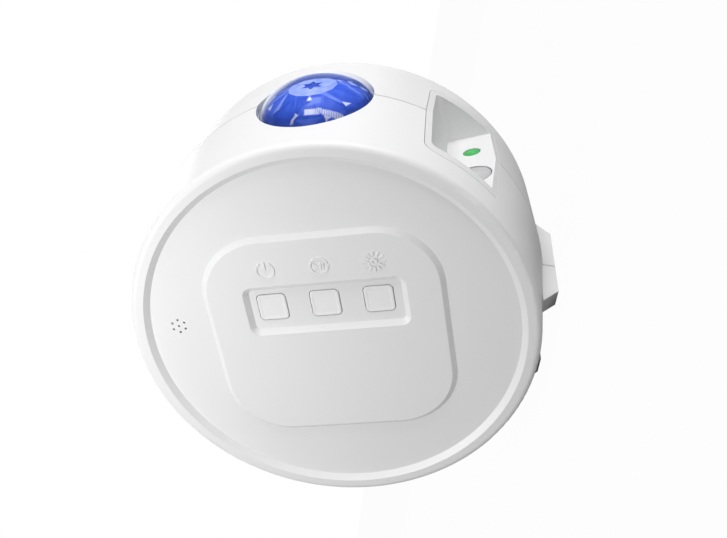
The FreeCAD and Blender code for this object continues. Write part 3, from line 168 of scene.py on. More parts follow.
# %% One finish
class Finish(Nodes):
    def __init__(self, name):
        self.material = bpy.data.materials.new(name)
        self.material.use_nodes = True
        super().__init__(self.material.node_tree)
        self.place = self.node("ShaderNodeTexCoord", output="Object")

    def blend(self, factor, low, high):
        """One colour where the factor is 0, the other where it is 1."""
        low, high = [(*colour, 1.0) if isinstance(colour, tuple) else colour for colour in (low, high)]
        sockets = {0: factor, 6: low, 7: high}
        return self.node("ShaderNodeMix", {"data_type": "RGBA"}, output=2, numbered=sockets)

    def noise(self, scale, detail=2.0, rough=0.5):
        return self.node("ShaderNodeTexNoise", Vector=self.place, Scale=scale, Detail=detail,
                         Roughness=rough)

    def bump(self, height, strength, distance):
        return self.node("ShaderNodeBump", Height=height, Strength=strength, Distance=distance)

    def room(self):
        """The three Object coordinates, in millimetres."""
        parts = [self.node("ShaderNodeSeparateXYZ", output=axis, Vector=self.place) for axis in range(3)]
        return [part * per_metre for part in parts]

    def drum(self):
        """The same point in the drum's frame: across the face, towards the dome, out of the face."""
        x, y, z = self.room()
        x = x - drum_middle.x * per_metre
        z = z - drum_middle.z * per_metre
        return x * across.x + z * across.z, x * beam.x + z * beam.z, y * -1.0

    def bay(self):
        """The same point in the frame of the laser bay."""
        x, y, z = self.drum()
        cosine, sine = math.cos(bay_turn), math.sin(bay_turn)
        return x * cosine + y * sine, y * cosine - x * sine, z

    def shade(self, **inputs):
        """Ends the finish with one shader and gives the material."""
        self.node("ShaderNodeOutputMaterial", Surface=self.node("ShaderNodeBsdfPrincipled", **inputs))
        return self.material


def hypot(a, b):
    return (a * a + b * b).math("SQRT")


def ramp(value, start, end):
    """0 up to start, 1 from end on, and a straight slope between."""
    return ((value - start) / (end - start)).math("MINIMUM", 1.0).math("MAXIMUM", 0.0)


print("finishes can be written")

# %% [markdown]
# The model is drawn in the drum's own frame, in millimetres: x across the face, y towards the dome and z out
# of the face. The stance turns that frame so that the feet rest on the floor. Each new piece is built in
# plain millimetres where it is easy to select, and one matrix then puts it in its place in the room.

# %% Frames
beam_tilt = 15.5
stance = math.radians(beam_tilt - 90)
across = Vector((math.cos(stance), 0.0, math.sin(stance)))
beam = Vector((-math.sin(stance), 0.0, math.cos(stance)))
front = Vector((0.0, -1.0, 0.0))
drum_middle = Vector((-0.0019028, 0.0, 0.0792))


def frame_on(place, axes):
    """A millimetre frame at a place in the room, with the given axes."""
    return Matrix.Translation(place) @ Matrix(axes).transposed().to_4x4() @ Matrix.Scale(mm, 4)


def frame_at(x, y, z, axes):
    """The same at a point of the drum's frame."""
    return frame_on(drum_middle + (across * x + beam * y + front * z) * mm, axes)


print("drum's middle", [round(v, 4) for v in drum_middle], "beam", [round(v, 4) for v in beam])

# %% [markdown]
# A few helpers carry all the modelling. One opens a piece for editing with nothing selected. One selects its
# faces, edges or vertices by a test on their place or normal. One extrudes and sizes what is selected, and
# the last ones copy a piece and put it in the room.


# %% Modelling helpers
def edit(piece, kind="FACE"):
    bpy.ops.object.select_all(action="DESELECT")
    piece.select_set(True)
    bpy.context.view_layer.objects.active = piece
    bpy.ops.object.mode_set(mode="EDIT")
    bpy.ops.mesh.select_mode(type=kind)
    bpy.ops.mesh.select_all(action="DESELECT")


def pick(piece, test):
    """Selects the faces, edges or vertices, as the mode has it, that pass a test."""
    drawn = bmesh.from_edit_mesh(piece.data)
    vertices, edges, _ = bpy.context.tool_settings.mesh_select_mode
    items = drawn.verts if vertices else drawn.edges if edges else drawn.faces
    for item in items:
        item.select_set(bool(test(item)))
    drawn.select_flush_mode()
    bmesh.update_edit_mesh(piece.data)
    return sum(item.select for item in items)


def middle(item):
    """The middle of a face or an edge."""
    places = [vertex.co for vertex in item.verts]
    return sum(places, Vector()) / len(places)


def grow(step, factor=1.0, turn=0.0):
    """Extrudes the selection by a step, and then sizes and turns it about the z axis."""
    bpy.ops.mesh.extrude_region_move(TRANSFORM_OT_translate={"value": step})
    bpy.ops.transform.resize(value=(factor, factor, 1.0), center_override=(0, 0, 0))
    if turn:
        bpy.ops.transform.rotate(value=turn, orient_axis="Z", center_override=(0, 0, 0))


def twin(piece):
    """A copy with a mesh of its own."""
    copy = piece.copy()
    copy.data = piece.data.copy()
    bpy.context.scene.collection.objects.link(copy)
    return copy


def settle(piece, name, matrix, body="casing", smooth=None):
    """Ends editing, puts the piece in its place, and lets it ride on a body."""
    if piece.mode == "EDIT":
        bpy.ops.mesh.select_all(action="SELECT")
        bpy.ops.mesh.normals_make_consistent(inside=False)
        bpy.ops.object.mode_set(mode="OBJECT")
    piece.name = name
    bpy.ops.object.select_all(action="DESELECT")
    piece.select_set(True)
    bpy.context.view_layer.objects.active = piece
    piece.matrix_world = matrix
    bpy.ops.object.transform_apply(location=True, rotation=True, scale=True)
    if smooth is not None:
        bpy.ops.object.shade_smooth_by_angle(angle=math.radians(smooth))
    piece.select_set(False)
    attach(piece, body)
    print(name, "faces", len(piece.data.polygons))
    return piece


print("helpers ready")

# %% [markdown]
# The nebula dome is a clear blue cap. On the real object it is one moulding, smooth outside and cut like a
# gem inside, so that the light of the lamps breaks up. A cut sphere would be the quickest cap, but the real
# one has fuller shoulders, halfway between a ball and an ellipse. So a circle is grown ring by ring up that
# profile.

# %% Dome cap
dome_side = 1.0
dome_level = 71.0
dome_radius = 20.9
dome_height = 10.8
cap_skirt = 1.6
cap_sides = 72
cap_rings = 20
ball_drop = (dome_radius ** 2 - dome_height ** 2) / (2 * dome_height)
ball_radius = ball_drop + dome_height
dome_frame = frame_at(dome_side, dome_level, 0.0, (across, -front, beam))


def cap_radius(level):
    """Halfway between the radius of a ball and that of an ellipse at this level."""
    ball = math.sqrt(ball_radius ** 2 - (level + ball_drop) ** 2)
    oval = dome_radius * math.sqrt(1 - (level / dome_height) ** 2)
    return (ball + oval) / 2


bpy.ops.object.select_all(action="DESELECT")
bpy.ops.mesh.primitive_circle_add(vertices=cap_sides, radius=dome_radius, location=(0, 0, -cap_skirt))
dome_cap = bpy.context.object
bpy.ops.object.transform_apply(location=True)
edit(dome_cap, "EDGE")
bpy.ops.mesh.select_all(action="SELECT")
grow((0, 0, cap_skirt))
radius, height = dome_radius, 0.0
for ring in range(1, cap_rings):
    level = dome_height * math.sin(math.pi / 2 * ring / cap_rings)
    grow((0, 0, level - height), cap_radius(level) / radius)
    radius, height = cap_radius(level), level
bpy.ops.mesh.edge_face_add()
bpy.ops.mesh.poke()
settle(dome_cap, "dome_cap", dome_frame, smooth=40)

# %% [markdown]
# The cut inside of the dome. A real one has a round table with a star in the middle and two rows of facets
# around it. A coarse ball has facets too, but its rows of squares don't look cut. So a twelve-sided plug is
# grown ring by ring, each ring turned by half a step, and the twisted quads are then split along their short
# diagonals, which gives the triangles of a cut stone.

# %% Gem inside the dome
facets = 12
half_step = math.pi / facets
gem_radius = 20.3
gem_depth = 1.4
gem_rings = ((18.5, 3.3), (9.6, 7.2))
bpy.ops.object.select_all(action="DESELECT")
bpy.ops.mesh.primitive_cylinder_add(vertices=facets, radius=gem_radius, depth=gem_depth,
                                    location=(0, 0, -gem_depth / 2))
gem = bpy.context.object
bpy.ops.object.transform_apply(location=True)
edit(gem)
pick(gem, lambda face: face.normal.z > 0.9)
radius, height = gem_radius, 0.0
for ring_radius, ring_height in gem_rings:
    grow((0, 0, ring_height - height), ring_radius / radius, half_step)
    radius, height = ring_radius, ring_height
pick(gem, lambda face: 0 < middle(face).z < height - 0.01)
bpy.ops.mesh.quads_convert_to_tris(quad_method="SHORTEST_DIAGONAL")
print("gem rows", len(gem_rings))

# %% [markdown]
# The star on the table. It could be laid on top as a piece of its own, but on a cut stone it belongs to the
# table. So every second corner of an inset table is drawn in towards the middle, which leaves six points.
# The star is sunk a little, so that its own edges catch the light.

# %% Star of the gem
star_share = 0.46
star_waist = 0.52
star_depth = 0.5
star_shift = Vector((-0.7, 2.6, 0.0))
star_radius = radius * star_share
pick(gem, lambda face: face.normal.z > 0.99 and middle(face).z > height - 0.01)
grow((0, 0, 0), star_share)
bpy.ops.mesh.select_mode(type="VERT")


def on_star(vertex):
    return vertex.co.z > height - 0.01 and vertex.co.xy.length < star_radius + 0.1


def even_corner(vertex):
    corner = math.atan2(vertex.co.y, vertex.co.x) / (2 * half_step)
    return on_star(vertex) and round(corner) % 2 == 0


pick(gem, even_corner)
bpy.ops.transform.resize(value=(star_waist, star_waist, 1.0), center_override=(0, 0, 0))
pick(gem, on_star)
bpy.ops.transform.translate(value=star_shift)
bpy.ops.mesh.select_mode(type="FACE")
star_faces = pick(gem, lambda face: face.normal.z > 0.99 and (middle(face) - star_shift).xy.length < 0.5)
grow((0, 0, -star_depth))
print("star faces", star_faces)

# %% [markdown]
# The ground edges. The edges that climb from one row of facets to the next are ground flat on a cut stone,
# and those narrow faces are what flashes first. Bright lines in the finish could stand for them, but a bevel
# with one segment gives real faces, which catch the light from every side.

# %% Ground edges of the gem
ground_width = 0.3
bpy.ops.mesh.select_mode(type="EDGE")


def climbing_edge(edge):
    low, high = sorted(vertex.co.z for vertex in edge.verts)
    return low > 1.0 and high - low > 1.0


ground = pick(gem, climbing_edge)
bpy.ops.mesh.bevel(offset=ground_width, segments=1, affect="EDGES")
settle(gem, "dome_gem", dome_frame)
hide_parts("nebula_dome")
print("ground edges", ground)

# %% [markdown]
# The three keys. A real key is a small square moulding with soft corners and a top that is very slightly
# dished, which is what separates it from its opening in the light. The frame's own keys have flat tops. So
# one key is a bevelled cube with an inset top, and the others are copies of it. Each takes its place from
# the key that the frame holds.

# %% Keys
key_names = ("power", "mode", "light")
key_size = 10.4
key_thickness = 3.0
corner_radius = 1.6
edge_radius = 0.35
dish_border = 0.55
dish_slope = 0.45
dish_depth = 0.08
bpy.ops.object.select_all(action="DESELECT")
bpy.ops.mesh.primitive_cube_add(size=1.0, location=(0, 0, 0), scale=(key_size, key_size, key_thickness))
key = bpy.context.object
bpy.ops.object.transform_apply(location=True, scale=True)
edit(key, "EDGE")
pick(key, lambda edge: abs(edge.verts[0].co.z - edge.verts[1].co.z) > 1)
bpy.ops.mesh.bevel(offset=corner_radius, segments=8, affect="EDGES")
bpy.ops.mesh.select_mode(type="FACE")
pick(key, lambda face: face.normal.z > 0.9)
bpy.ops.mesh.bevel(offset=edge_radius, segments=4, affect="EDGES")
pick(key, lambda face: face.normal.z > 0.999 and face.calc_area() > key_size ** 2 / 2)
bpy.ops.mesh.inset(thickness=dish_border, depth=0.0)
bpy.ops.mesh.inset(thickness=dish_slope, depth=-dish_depth)
bpy.ops.object.mode_set(mode="OBJECT")
for name in key_names:
    button_low, button_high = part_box(name + "_button")
    place = (button_low + button_high) / 2
    place.y = button_low.y + key_thickness / 2 * mm
    cap = key if name == key_names[-1] else twin(key)
    settle(cap, name + "_cap", frame_on(place, (across, beam, front)), name + "_key")
    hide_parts(name + "_button")

# %% [markdown]
# The two windows on the floor of the laser bay. Real ones are small lenses pressed into their seats, a
# little domed. A flat disc would do from straight above, but only a domed one has a highlight from the side.
# So each is a flattened half sphere with a straight skirt. The bay is turned a little round the drum's axis,
# and its pieces have a frame of their own.

# %% Windows of the laser bay
bay_turn = math.radians(6.0)
bay_across = across * math.cos(bay_turn) + beam * math.sin(bay_turn)
bay_beam = beam * math.cos(bay_turn) - across * math.sin(bay_turn)
bay_floor = 37.2
seat_depth = 0.35
lens_skirt = 1.0
laser_spot, laser_radius = (58.0, -10.0), 3.3
moon_spot, moon_radius = (58.4, 10.5), 7.0


def bay_frame(spot, level):
    """A frame on a spot of the bay, given across it and along the drum's axis, at a level over the axis."""
    p, z = spot
    x = p * math.cos(bay_turn) - level * math.sin(bay_turn)
    y = p * math.sin(bay_turn) + level * math.cos(bay_turn)
    return frame_at(x, y, z, (bay_across, -front, bay_beam))


def lens(name, spot, radius, bulge, node):
    bpy.ops.object.select_all(action="DESELECT")
    bpy.ops.mesh.primitive_uv_sphere_add(segments=48, ring_count=24, radius=radius,
                                         scale=(1, 1, bulge / radius))
    made = bpy.context.object
    bpy.ops.object.transform_apply(scale=True)
    edit(made)
    bpy.ops.mesh.select_all(action="SELECT")
    bpy.ops.mesh.bisect(plane_co=(0, 0, 0), plane_no=(0, 0, 1), clear_inner=True)
    bpy.ops.mesh.select_mode(type="EDGE")
    pick(made, lambda edge: middle(edge).z < 0.001)
    grow((0, 0, -lens_skirt))
    bpy.ops.mesh.edge_face_add()
    settle(made, name, bay_frame(spot, bay_floor - seat_depth), smooth=40)
    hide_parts(node)
    return made


laser_lens = lens("laser_lens", laser_spot, laser_radius, 0.5, "laser_window")
moon_lens = lens("moon_lens", moon_spot, moon_radius, 0.7, "moon_window")

# %% [markdown]
# The rubber strips under the feet. Real ones are ribbed across so that they grip the table. The ribs could
# be a bump in the finish, but then the outline of the strip stays smooth. So a strip of faces is extruded
# down once for the strip, and every second face once more for its rib. The frame's own strips give the
# length, the height and the places.

# %% Foot strips
pads_low, pads_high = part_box("foot_pads")
strip_width = 4.0
strip_length = (pads_high.y - pads_low.y) * per_metre
strip_height = (pads_high.z - pads_low.z) * per_metre
strip_steps = 29
rib_height = 0.1


def on_rib(face):
    """Every second face of the underside."""
    count = round((middle(face).y + strip_length / 2) / (strip_length / strip_steps) - 0.5)
    return middle(face).z < strip_height / 2 and abs(face.normal.z) > 0.9 and count % 2 == 0


bpy.ops.object.select_all(action="DESELECT")
bpy.ops.mesh.primitive_grid_add(x_subdivisions=1, y_subdivisions=strip_steps, size=1.0,
                                location=(0, 0, strip_height))
strip = bpy.context.object
strip.scale = (strip_width, strip_length, 1.0)
bpy.ops.object.transform_apply(location=True, scale=True)
edit(strip)
bpy.ops.mesh.select_all(action="SELECT")
bpy.ops.mesh.extrude_region_move(TRANSFORM_OT_translate={"value": (0, 0, rib_height - strip_height)})
pick(strip, on_rib)
bpy.ops.mesh.extrude_region_move(TRANSFORM_OT_translate={"value": (0, 0, -rib_height)})
bpy.ops.object.mode_set(mode="OBJECT")
strips = []
for name, piece, edge in (("strip_left", twin(strip), pads_low.x), ("strip_right", strip, pads_high.x)):
    inwards = math.copysign(strip_width / 2 * mm, drum_middle.x - edge)
    place = Matrix.Translation((edge + inwards, (pads_low.y + pads_high.y) / 2, 0))
    strips.append(settle(piece, name, place @ Matrix.Scale(mm, 4)))
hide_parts("foot_pads")

# %% [markdown]
# The white shells are satin moulded plastic. One even white would look like a drawing of it. So the finish
# is two close whites over a very fine grain, a soft unevenness in the gloss, and a faint relief of the same
# grain. The parting line between the two shells is a fine grey line on the real object, and it is darkened
# where the drum's z is close to zero.


# %% Satin white plastic
def satin_white(name, white, seam=False):
    made = Finish(name)
    grain = made.noise(2600.0, 3.0)
    cloud = made.noise(22.0)
    low = tuple(value * 0.965 for value in white)
    colour = made.blend(grain * 0.6 + cloud * 0.4, low, white)
    if seam:
        _, _, z = made.drum()
        line = 1.0 - ramp(z.math("ABSOLUTE"), 0.1, 0.28)
        colour = made.blend(line * 0.75, colour, (0.16, 0.16, 0.17))
    gloss = cloud * 0.08 + grain * 0.06 + 0.36
    return made.shade(Base_Color=colour, Roughness=gloss, Normal=made.bump(grain, 0.05, 0.00005))


shell_white = satin_white("shell_white", (0.84, 0.84, 0.845), seam=True)
insert_white = satin_white("insert_white", (0.80, 0.80, 0.805))
key_white = satin_white("key_white", (0.89, 0.89, 0.895))
print("whites", shell_white.name, insert_white.name, key_white.name)

# %% [markdown]
# Most of the inner pieces are plain industrial stock: plated steel, aluminium, brass, black mouldings,
# rubber. They differ in tone, grain and gloss alone, so one recipe makes them all. Two close tones follow a
# grain, the gloss follows it too, and drawn metals get a stretched grain, which reads as marks of drawing.


# %% Plain stock
def stock(name, light, dark, grain, gloss, metal=0.0, stretch=(1.0, 1.0, 1.0)):
    made = Finish(name)
    spread = made.node("ShaderNodeMapping", Vector=made.place, Scale=stretch)
    marks = made.node("ShaderNodeTexNoise", Vector=spread, Scale=grain, Detail=3.0)
    wide = made.noise(grain * 0.05)
    colour = made.blend(marks * 0.7 + wide * 0.3, dark, light)
    return made.shade(Base_Color=colour, Roughness=marks * 0.16 + gloss, Metallic=metal,
                      Normal=made.bump(marks, 0.1, 0.00005))


steel = stock("steel", (0.66, 0.67, 0.69), (0.46, 0.47, 0.49), 700.0, 0.24, 1.0, (1, 6, 1))
plated = stock("plated_steel", (0.72, 0.72, 0.70), (0.55, 0.55, 0.54), 1500.0, 0.2, 1.0)
aluminium = stock("aluminium", (0.80, 0.81, 0.82), (0.62, 0.63, 0.64), 600.0, 0.32, 1.0, (1, 1, 8))
brass = stock("brass", (0.83, 0.63, 0.27), (0.62, 0.44, 0.16), 800.0, 0.22, 1.0, (1, 1, 7))
black_plastic = stock("black_plastic", (0.035, 0.035, 0.038), (0.018, 0.018, 0.02), 1800.0, 0.38)
black_rubber = stock("black_rubber", (0.04, 0.04, 0.04), (0.02, 0.02, 0.02), 900.0, 0.66)
acetal = stock("natural_acetal", (0.84, 0.83, 0.79), (0.76, 0.75, 0.70), 500.0, 0.3)
ferrite = stock("ferrite", (0.10, 0.10, 0.11), (0.05, 0.05, 0.055), 1100.0, 0.45, 0.4)
strip_grey = stock("strip_grey", (0.62, 0.62, 0.63), (0.52, 0.52, 0.53), 1300.0, 0.62)
stocks = (steel, plated, aluminium, brass, black_plastic, black_rubber, acetal, ferrite, strip_grey)
print("stock finishes", [finish.name for finish in stocks])

# %% [markdown]
# Circuit boards are glass cloth under green lacquer. Copper tracks show through as a lighter green, and
# round pads are bare metal. Tracks could be laid one by one, but inside a closed drum a pattern of the right
# scale is enough. The joints of a brick texture with long low bricks run and turn as tracks do, and the
# middles of a cell texture are the pads.


# %% Circuit boards
def board(name, lacquer, track):
    made = Finish(name)
    x, y, _ = made.drum()
    flat = made.node("ShaderNodeCombineXYZ", X=x, Y=y, Z=0.0)
    rows = made.node("ShaderNodeTexBrick", {"offset": 0.37}, output="Fac", Vector=flat, Scale=0.45,
                     Mortar_Size=0.045, Brick_Width=1.7, Row_Height=0.6)
    cloth = made.noise(1500.0)
    pads = made.node("ShaderNodeTexVoronoi", output="Distance", Vector=flat, Scale=0.34)
    ring = 1.0 - ramp(pads, 0.10, 0.13)
    colour = made.blend(rows * 0.8, lacquer, track)
    colour = made.blend(cloth * 0.25, colour, tuple(value * 0.6 for value in lacquer))
    colour = made.blend(ring, colour, (0.75, 0.72, 0.62))
    return made.shade(Base_Color=colour, Roughness=cloth * 0.2 + 0.28, Metallic=ring * 0.8,
                      Normal=made.bump(rows, 0.2, 0.00003))


green_board = board("green_board", (0.012, 0.16, 0.05), (0.03, 0.30, 0.09))
white_board = board("white_board", (0.80, 0.81, 0.81), (0.66, 0.67, 0.67))
print("boards", green_board.name, white_board.name)

# %% [markdown]
# Clear parts: the ripple disc, the lens over the lamps, the wheel that splits the laser light, and the
# picture slide. True glass would bend the light, but a partly opaque surface renders cleaner and keeps its
# look in other programs. They let most of the light pass, with a ripple or a fine grating in the surface,
# and get more opaque at a slant, as a clear part does.


# %% Clear parts
def clear(name, tint, alpha, pattern):
    made = Finish(name)
    height = pattern(made)
    colour = made.blend(height, tint, (0.95, 0.97, 1.0))
    rim = made.node("ShaderNodeFresnel", IOR=1.45)
    return made.shade(Base_Color=colour, Roughness=height * 0.1 + 0.04,
                      Alpha=(rim * 0.6 + alpha).math("MINIMUM", 1.0), Normal=made.bump(height, 0.4, 0.0004))


def ripples(made):
    x, _, z = made.drum()
    soft = made.noise(140.0, 2.0, 0.4)
    return (hypot(x - dome_side, z) * 0.9 + soft * 5.0).math("SINE") * 0.4 + 0.5


def grating(made):
    p, _, z = made.bay()
    return (p * 9.0).math("SINE") * (z * 9.0).math("SINE") * 0.5 + 0.5


def soft_cells(made):
    return made.node("ShaderNodeTexVoronoi", {"feature": "SMOOTH_F1"}, output="Distance",
                     Vector=made.place, Scale=500.0)


ripple_clear = clear("ripple_clear", (0.70, 0.80, 0.92), 0.30, ripples)
grating_clear = clear("grating_clear", (0.62, 0.75, 0.72), 0.35, grating)
lens_clear = clear("lens_clear", (0.80, 0.88, 0.95), 0.25, soft_cells)
print("clear", ripple_clear.name, grating_clear.name, lens_clear.name)

# %% [markdown]
# Small electric parts: lamps with yellow phosphor, twisted red and black leads, the amber ribbon with its
# copper lines, and the paper cone of the loudspeaker. One recipe with many switches could make all four, but
# each has a pattern of its own, so each gets a short function.


# %% Lamps, leads, ribbon and cone
def phosphor():
    made = Finish("phosphor_lamps")
    x, _, _ = made.drum()
    dots = made.noise(900.0)
    colour = made.blend(ramp(x, -3.0, 4.0), (0.85, 0.70, 0.12), (0.80, 0.84, 0.86))
    colour = made.blend(dots * 0.4, colour, (0.55, 0.42, 0.08))
    return made.shade(Base_Color=colour, Roughness=dots * 0.2 + 0.2)


def leads():
    made = Finish("twin_lead")
    x, y, z = made.room()
    twist = ((x + y * 0.7 + z) * 1.9).math("SINE")
    dust = made.noise(1200.0)
    colour = made.blend(ramp(twist, -0.08, 0.08), (0.42, 0.012, 0.012), (0.018, 0.018, 0.02))
    return made.shade(Base_Color=colour, Roughness=dust * 0.2 + 0.38, Normal=made.bump(twist, 0.3, 0.0003))


def ribbon():
    made = Finish("amber_ribbon")
    x, _, _ = made.drum()
    lines = ramp((x * 6.3).math("SINE"), 0.1, 0.4)
    film = made.noise(300.0)
    colour = made.blend(lines, (0.50, 0.24, 0.04), (0.62, 0.40, 0.16))
    colour = made.blend(film * 0.3, colour, (0.36, 0.16, 0.02))
    return made.shade(Base_Color=colour, Metallic=lines * 0.5, Roughness=film * 0.1 + 0.25)


def cone():
    made = Finish("paper_cone")
    fibre = made.noise(800.0, 4.0, 0.7)
    rings = (made.noise(60.0) * 40.0).math("SINE")
    colour = made.blend(fibre, (0.018, 0.018, 0.018), (0.06, 0.058, 0.055))
    return made.shade(Base_Color=colour, Roughness=fibre * 0.2 + 0.6, Normal=made.bump(rings, 0.15, 0.0002))


lamp_phosphor = phosphor()
lead_cover = leads()
ribbon_film = ribbon()
cone_paper = cone()
print("electric", lamp_phosphor.name, lead_cover.name, ribbon_film.name, cone_paper.name)

# %% [markdown]
# The tones of the cut stone are painted reflections. On a real one each facet is a little mirror with a tone
# of its own. Mirrors and glass would give that by themselves, but differently in each program. So each face
# of the gem keeps its painted light as a tone attribute. The table is the palest and its star the darkest.
# The narrow ground edges are painted lighter, as highlights, than most of the wide facets, which alternate,
# and the outer facets are painted lighter than the inner ones.

# %% Tones of the gem, painted facet reflections
tones = gem.data.attributes.new("tone", "FLOAT", "FACE")
into_dome = dome_frame.inverted()


# Painted reflection: each tone stands for the light that the facet's mirror sends.
def painted_facet_light(face):
    spot = into_dome @ face.center
    corners = [into_dome @ gem.data.vertices[index].co for index in face.vertices]
    longest = max((a - b).length for a, b in zip(corners, corners[1:] + corners[:1]))
    width = face.area * per_metre ** 2 / longest
    sector = int(math.degrees(math.atan2(spot.y, spot.x)) // 15)
    if spot.z > 6 and (spot - star_shift).xy.length < 1.0:
        return 0.02
    if face.normal.dot(beam) > 0.98:
        return 0.90
    if width < 0.7:
        return 0.50 if sector % 3 == 1 else 0.40
    outer = abs(spot.x) > 9 or spot.z < 2.5
    return 0.20 + 0.12 * (sector % 2) + 0.05 * (sector % 3) + 0.10 * outer


for face in gem.data.polygons:
    tones.data[face.index].value = painted_facet_light(face)
print("gem faces", len(gem.data.polygons))

# %% [markdown]
# Small shapes inside a material need no picture: a convex patch is where a point lies to the left of every
# side. The least of those distances, passed through a short ramp, is a mask with soft edges.


# %% Patches
def beside(u, v, a, b):
    """How far a point lies to the left of the line from a to b."""
    run, rise = b[0] - a[0], b[1] - a[1]
    length = math.hypot(run, rise)
    return (v - a[1]) * (run / length) - (u - a[0]) * (rise / length)


def patch(u, v, corners, soft=0.15):
    """1 inside a convex patch, whose corners go round against the clock."""
    least = beside(u, v, corners[-1], corners[0])
    for a, b in zip(corners, corners[1:]):
        least = least.math("MINIMUM", beside(u, v, a, b))
    return ramp(least, -soft, soft)


def most(first, *others):
    """The largest of several flows, which joins patches."""
    for other in others:
        first = first.math("MAXIMUM", other)
    return first


print("patches ready")

# %% [markdown]
# The blue of the stone. One ramp of blues reads the tone of each face, which is its painted facet light,
# loosened by a cloud, by the uneven cells of a cell texture and by a fine frost, so that no facet is one
# flat colour.


# %% Blue of the stone
def stone_blue(made, cloud):
    tone = made.node("ShaderNodeAttribute", {"attribute_name": "tone"}, output="Fac")
    cells = made.node("ShaderNodeTexVoronoi", output="Color", Vector=made.place, Scale=380.0)
    shard = made.node("ShaderNodeSeparateColor", Color=cells)
    frost = made.noise(1400.0, 2.0, 0.7)
    mixed = tone + cloud * 0.24 - 0.12 + shard * 0.16 - 0.08 + frost * 0.10 - 0.05
    stops = ((0.0, (0.022, 0.070, 0.44)), (0.3, (0.040, 0.115, 0.60)), (0.5, (0.075, 0.17, 0.74)),
             (0.7, (0.16, 0.29, 0.83)), (0.85, (0.36, 0.47, 0.86)), (1.0, (0.54, 0.63, 0.92)))
    return made.node("ShaderNodeValToRGB", {"stops": stops}, Fac=mixed)


print("stone blue ready")

# %% [markdown]
# What shines through the cut stone: the white toothed rim of the disc below, broken by the facets into short
# arcs, with a soft painted glow beside it, and small painted glints and paler panes of painted light where a
# facet sends the light straight out. They could be modelled under the stone, but only true glass would break
# them up. They repeat three times round the dome, so the angle is folded into one third of a turn first, and
# each of them is then one small patch. Only the three long streaks, painted reflections, lie on one side
# each.


# %% Gem finish
def gem_blue():
    made = Finish("gem_blue")
    cloud = made.noise(160.0, 3.0, 0.6)
    colour = stone_blue(made, cloud)
    x, _, z = made.drum()
    u, v = x - dome_side, z * -1.0
    third = math.radians(120)
    angle = v.math("ARCTAN2", u)
    angle = angle - ((angle + math.radians(65)) / third).math("ROUND") * third
    away = hypot(u, v)
    p, q = away * angle.math("COSINE"), away * angle.math("SINE")
    teeth = ramp((p * 8.0).math("SINE"), -0.5, 0.3) * ramp(p, 1.5, 2.5) * 0.45
    rim = patch(p, q, ((-1.3, -16.6), (12.4, -17.2), (12.4, -15.3), (7.0, -14.7), (-1.3, -14.4)), 0.2)
    # A soft painted glow beside the toothed rim.
    painted_glow = patch(p, q, ((-3.2, -16.0), (3.0, -16.4), (4.0, -12.8), (-3.2, -12.6)), 1.2)
    # Painted glints: small highlights where a facet sends the light straight out.
    painted_glints = most(
        patch(p, q, ((12.7, -11.8), (14.3, -9.2), (11.2, -10.0))),
        patch(p, q, ((0.2, -11.2), (1.3, -10.9), (0.3, -9.2), (-0.8, -10.9))),
        patch(p, q, ((-6.4, -18.2), (-5.2, -18.4), (-3.3, -16.2), (-4.5, -16.0))),
        patch(p, q, ((6.2, -18.4), (8.2, -17.0), (5.4, -17.0))))
    # Painted panes: paler patches of painted light.
    painted_panes = most(
        patch(p, q, ((-1.0, -13.4), (4.2, -12.4), (4.4, -9.6), (2.0, -9.8)), 0.3),
        patch(p, q, ((4.0, -8.2), (11.0, -11.4), (11.6, -10.4), (5.2, -6.6)), 0.4))
    # Painted reflections: three long streaks, each on one side of the dome.
    painted_reflections = most(
        patch(u, v, ((-13.6, -10.6), (-11.0, -11.6), (-8.0, -2.0))),
        patch(u, v, ((9.0, 3.2), (16.2, -1.6), (16.4, -0.6), (9.4, 4.4)), 0.25),
        patch(u, v, ((17.6, 0.6), (19.2, -2.4), (19.6, -2.2), (18.2, 0.8))))
    colour = made.blend(painted_glow * 0.4, colour, (0.13, 0.24, 0.80))
    colour = made.blend(painted_panes * 0.8, colour, (0.22, 0.34, 0.86))
    colour = made.blend(painted_reflections * 0.8, colour, (0.36, 0.48, 0.88))
    colour = made.blend(most(rim, painted_glints) - rim * teeth, colour, (0.92, 0.95, 1.0))
    return made.shade(Base_Color=colour, Roughness=cloud * 0.2 + 0.34, Specular_IOR_Level=0.15)


gem_finish = gem_blue()
print("gem finish", gem_finish.name)

# %% [markdown]
# The clear cap over the gem. Polished plastic is clear seen straight on and shines at a slant, where its
# colour is painted paler as sheen. An even opacity would veil the stone, so the cap's opacity grows with the
# slant alone. Along its own edge, more on one side, the cap also gets a pale painted reflection of a bright
# wall, which makes it more opaque there too, and a thin dark line stays at the foot, where the cap dips into
# the shell.


# %% Cap finish
def cap_blue():
    made = Finish("cap_blue")
    slant = made.node("ShaderNodeFresnel", IOR=1.45)
    haze = made.noise(90.0)
    x, y, z = made.drum()
    foot = 1.0 - ramp(y, dome_level + 0.1, dome_level + 0.6)
    # Painted reflection of a pale wall, along the cap's edge on one side.
    painted_wall_reflection = ramp(x * -0.8 - z * 0.6, 3.0, 11.0) * ramp(slant, 0.05, 0.2)
    # Painted sheen: the colour grows paler at a slant.
    colour = made.blend(haze * 0.3 + slant * 0.8, (0.05, 0.14, 0.70), (0.32, 0.46, 0.95))
    colour = made.blend(painted_wall_reflection * 0.9, colour, (0.74, 0.78, 0.90))
    colour = made.blend(foot, colour, (0.01, 0.025, 0.16))
    alpha = (haze * 0.05 + slant * 1.4 + painted_wall_reflection * 0.5 + foot * 0.6).math("MINIMUM", 1.0)
    return made.shade(Base_Color=colour, Roughness=haze * 0.05 + 0.03, Alpha=alpha)


cap_finish = cap_blue()
print("cap finish", cap_finish.name)

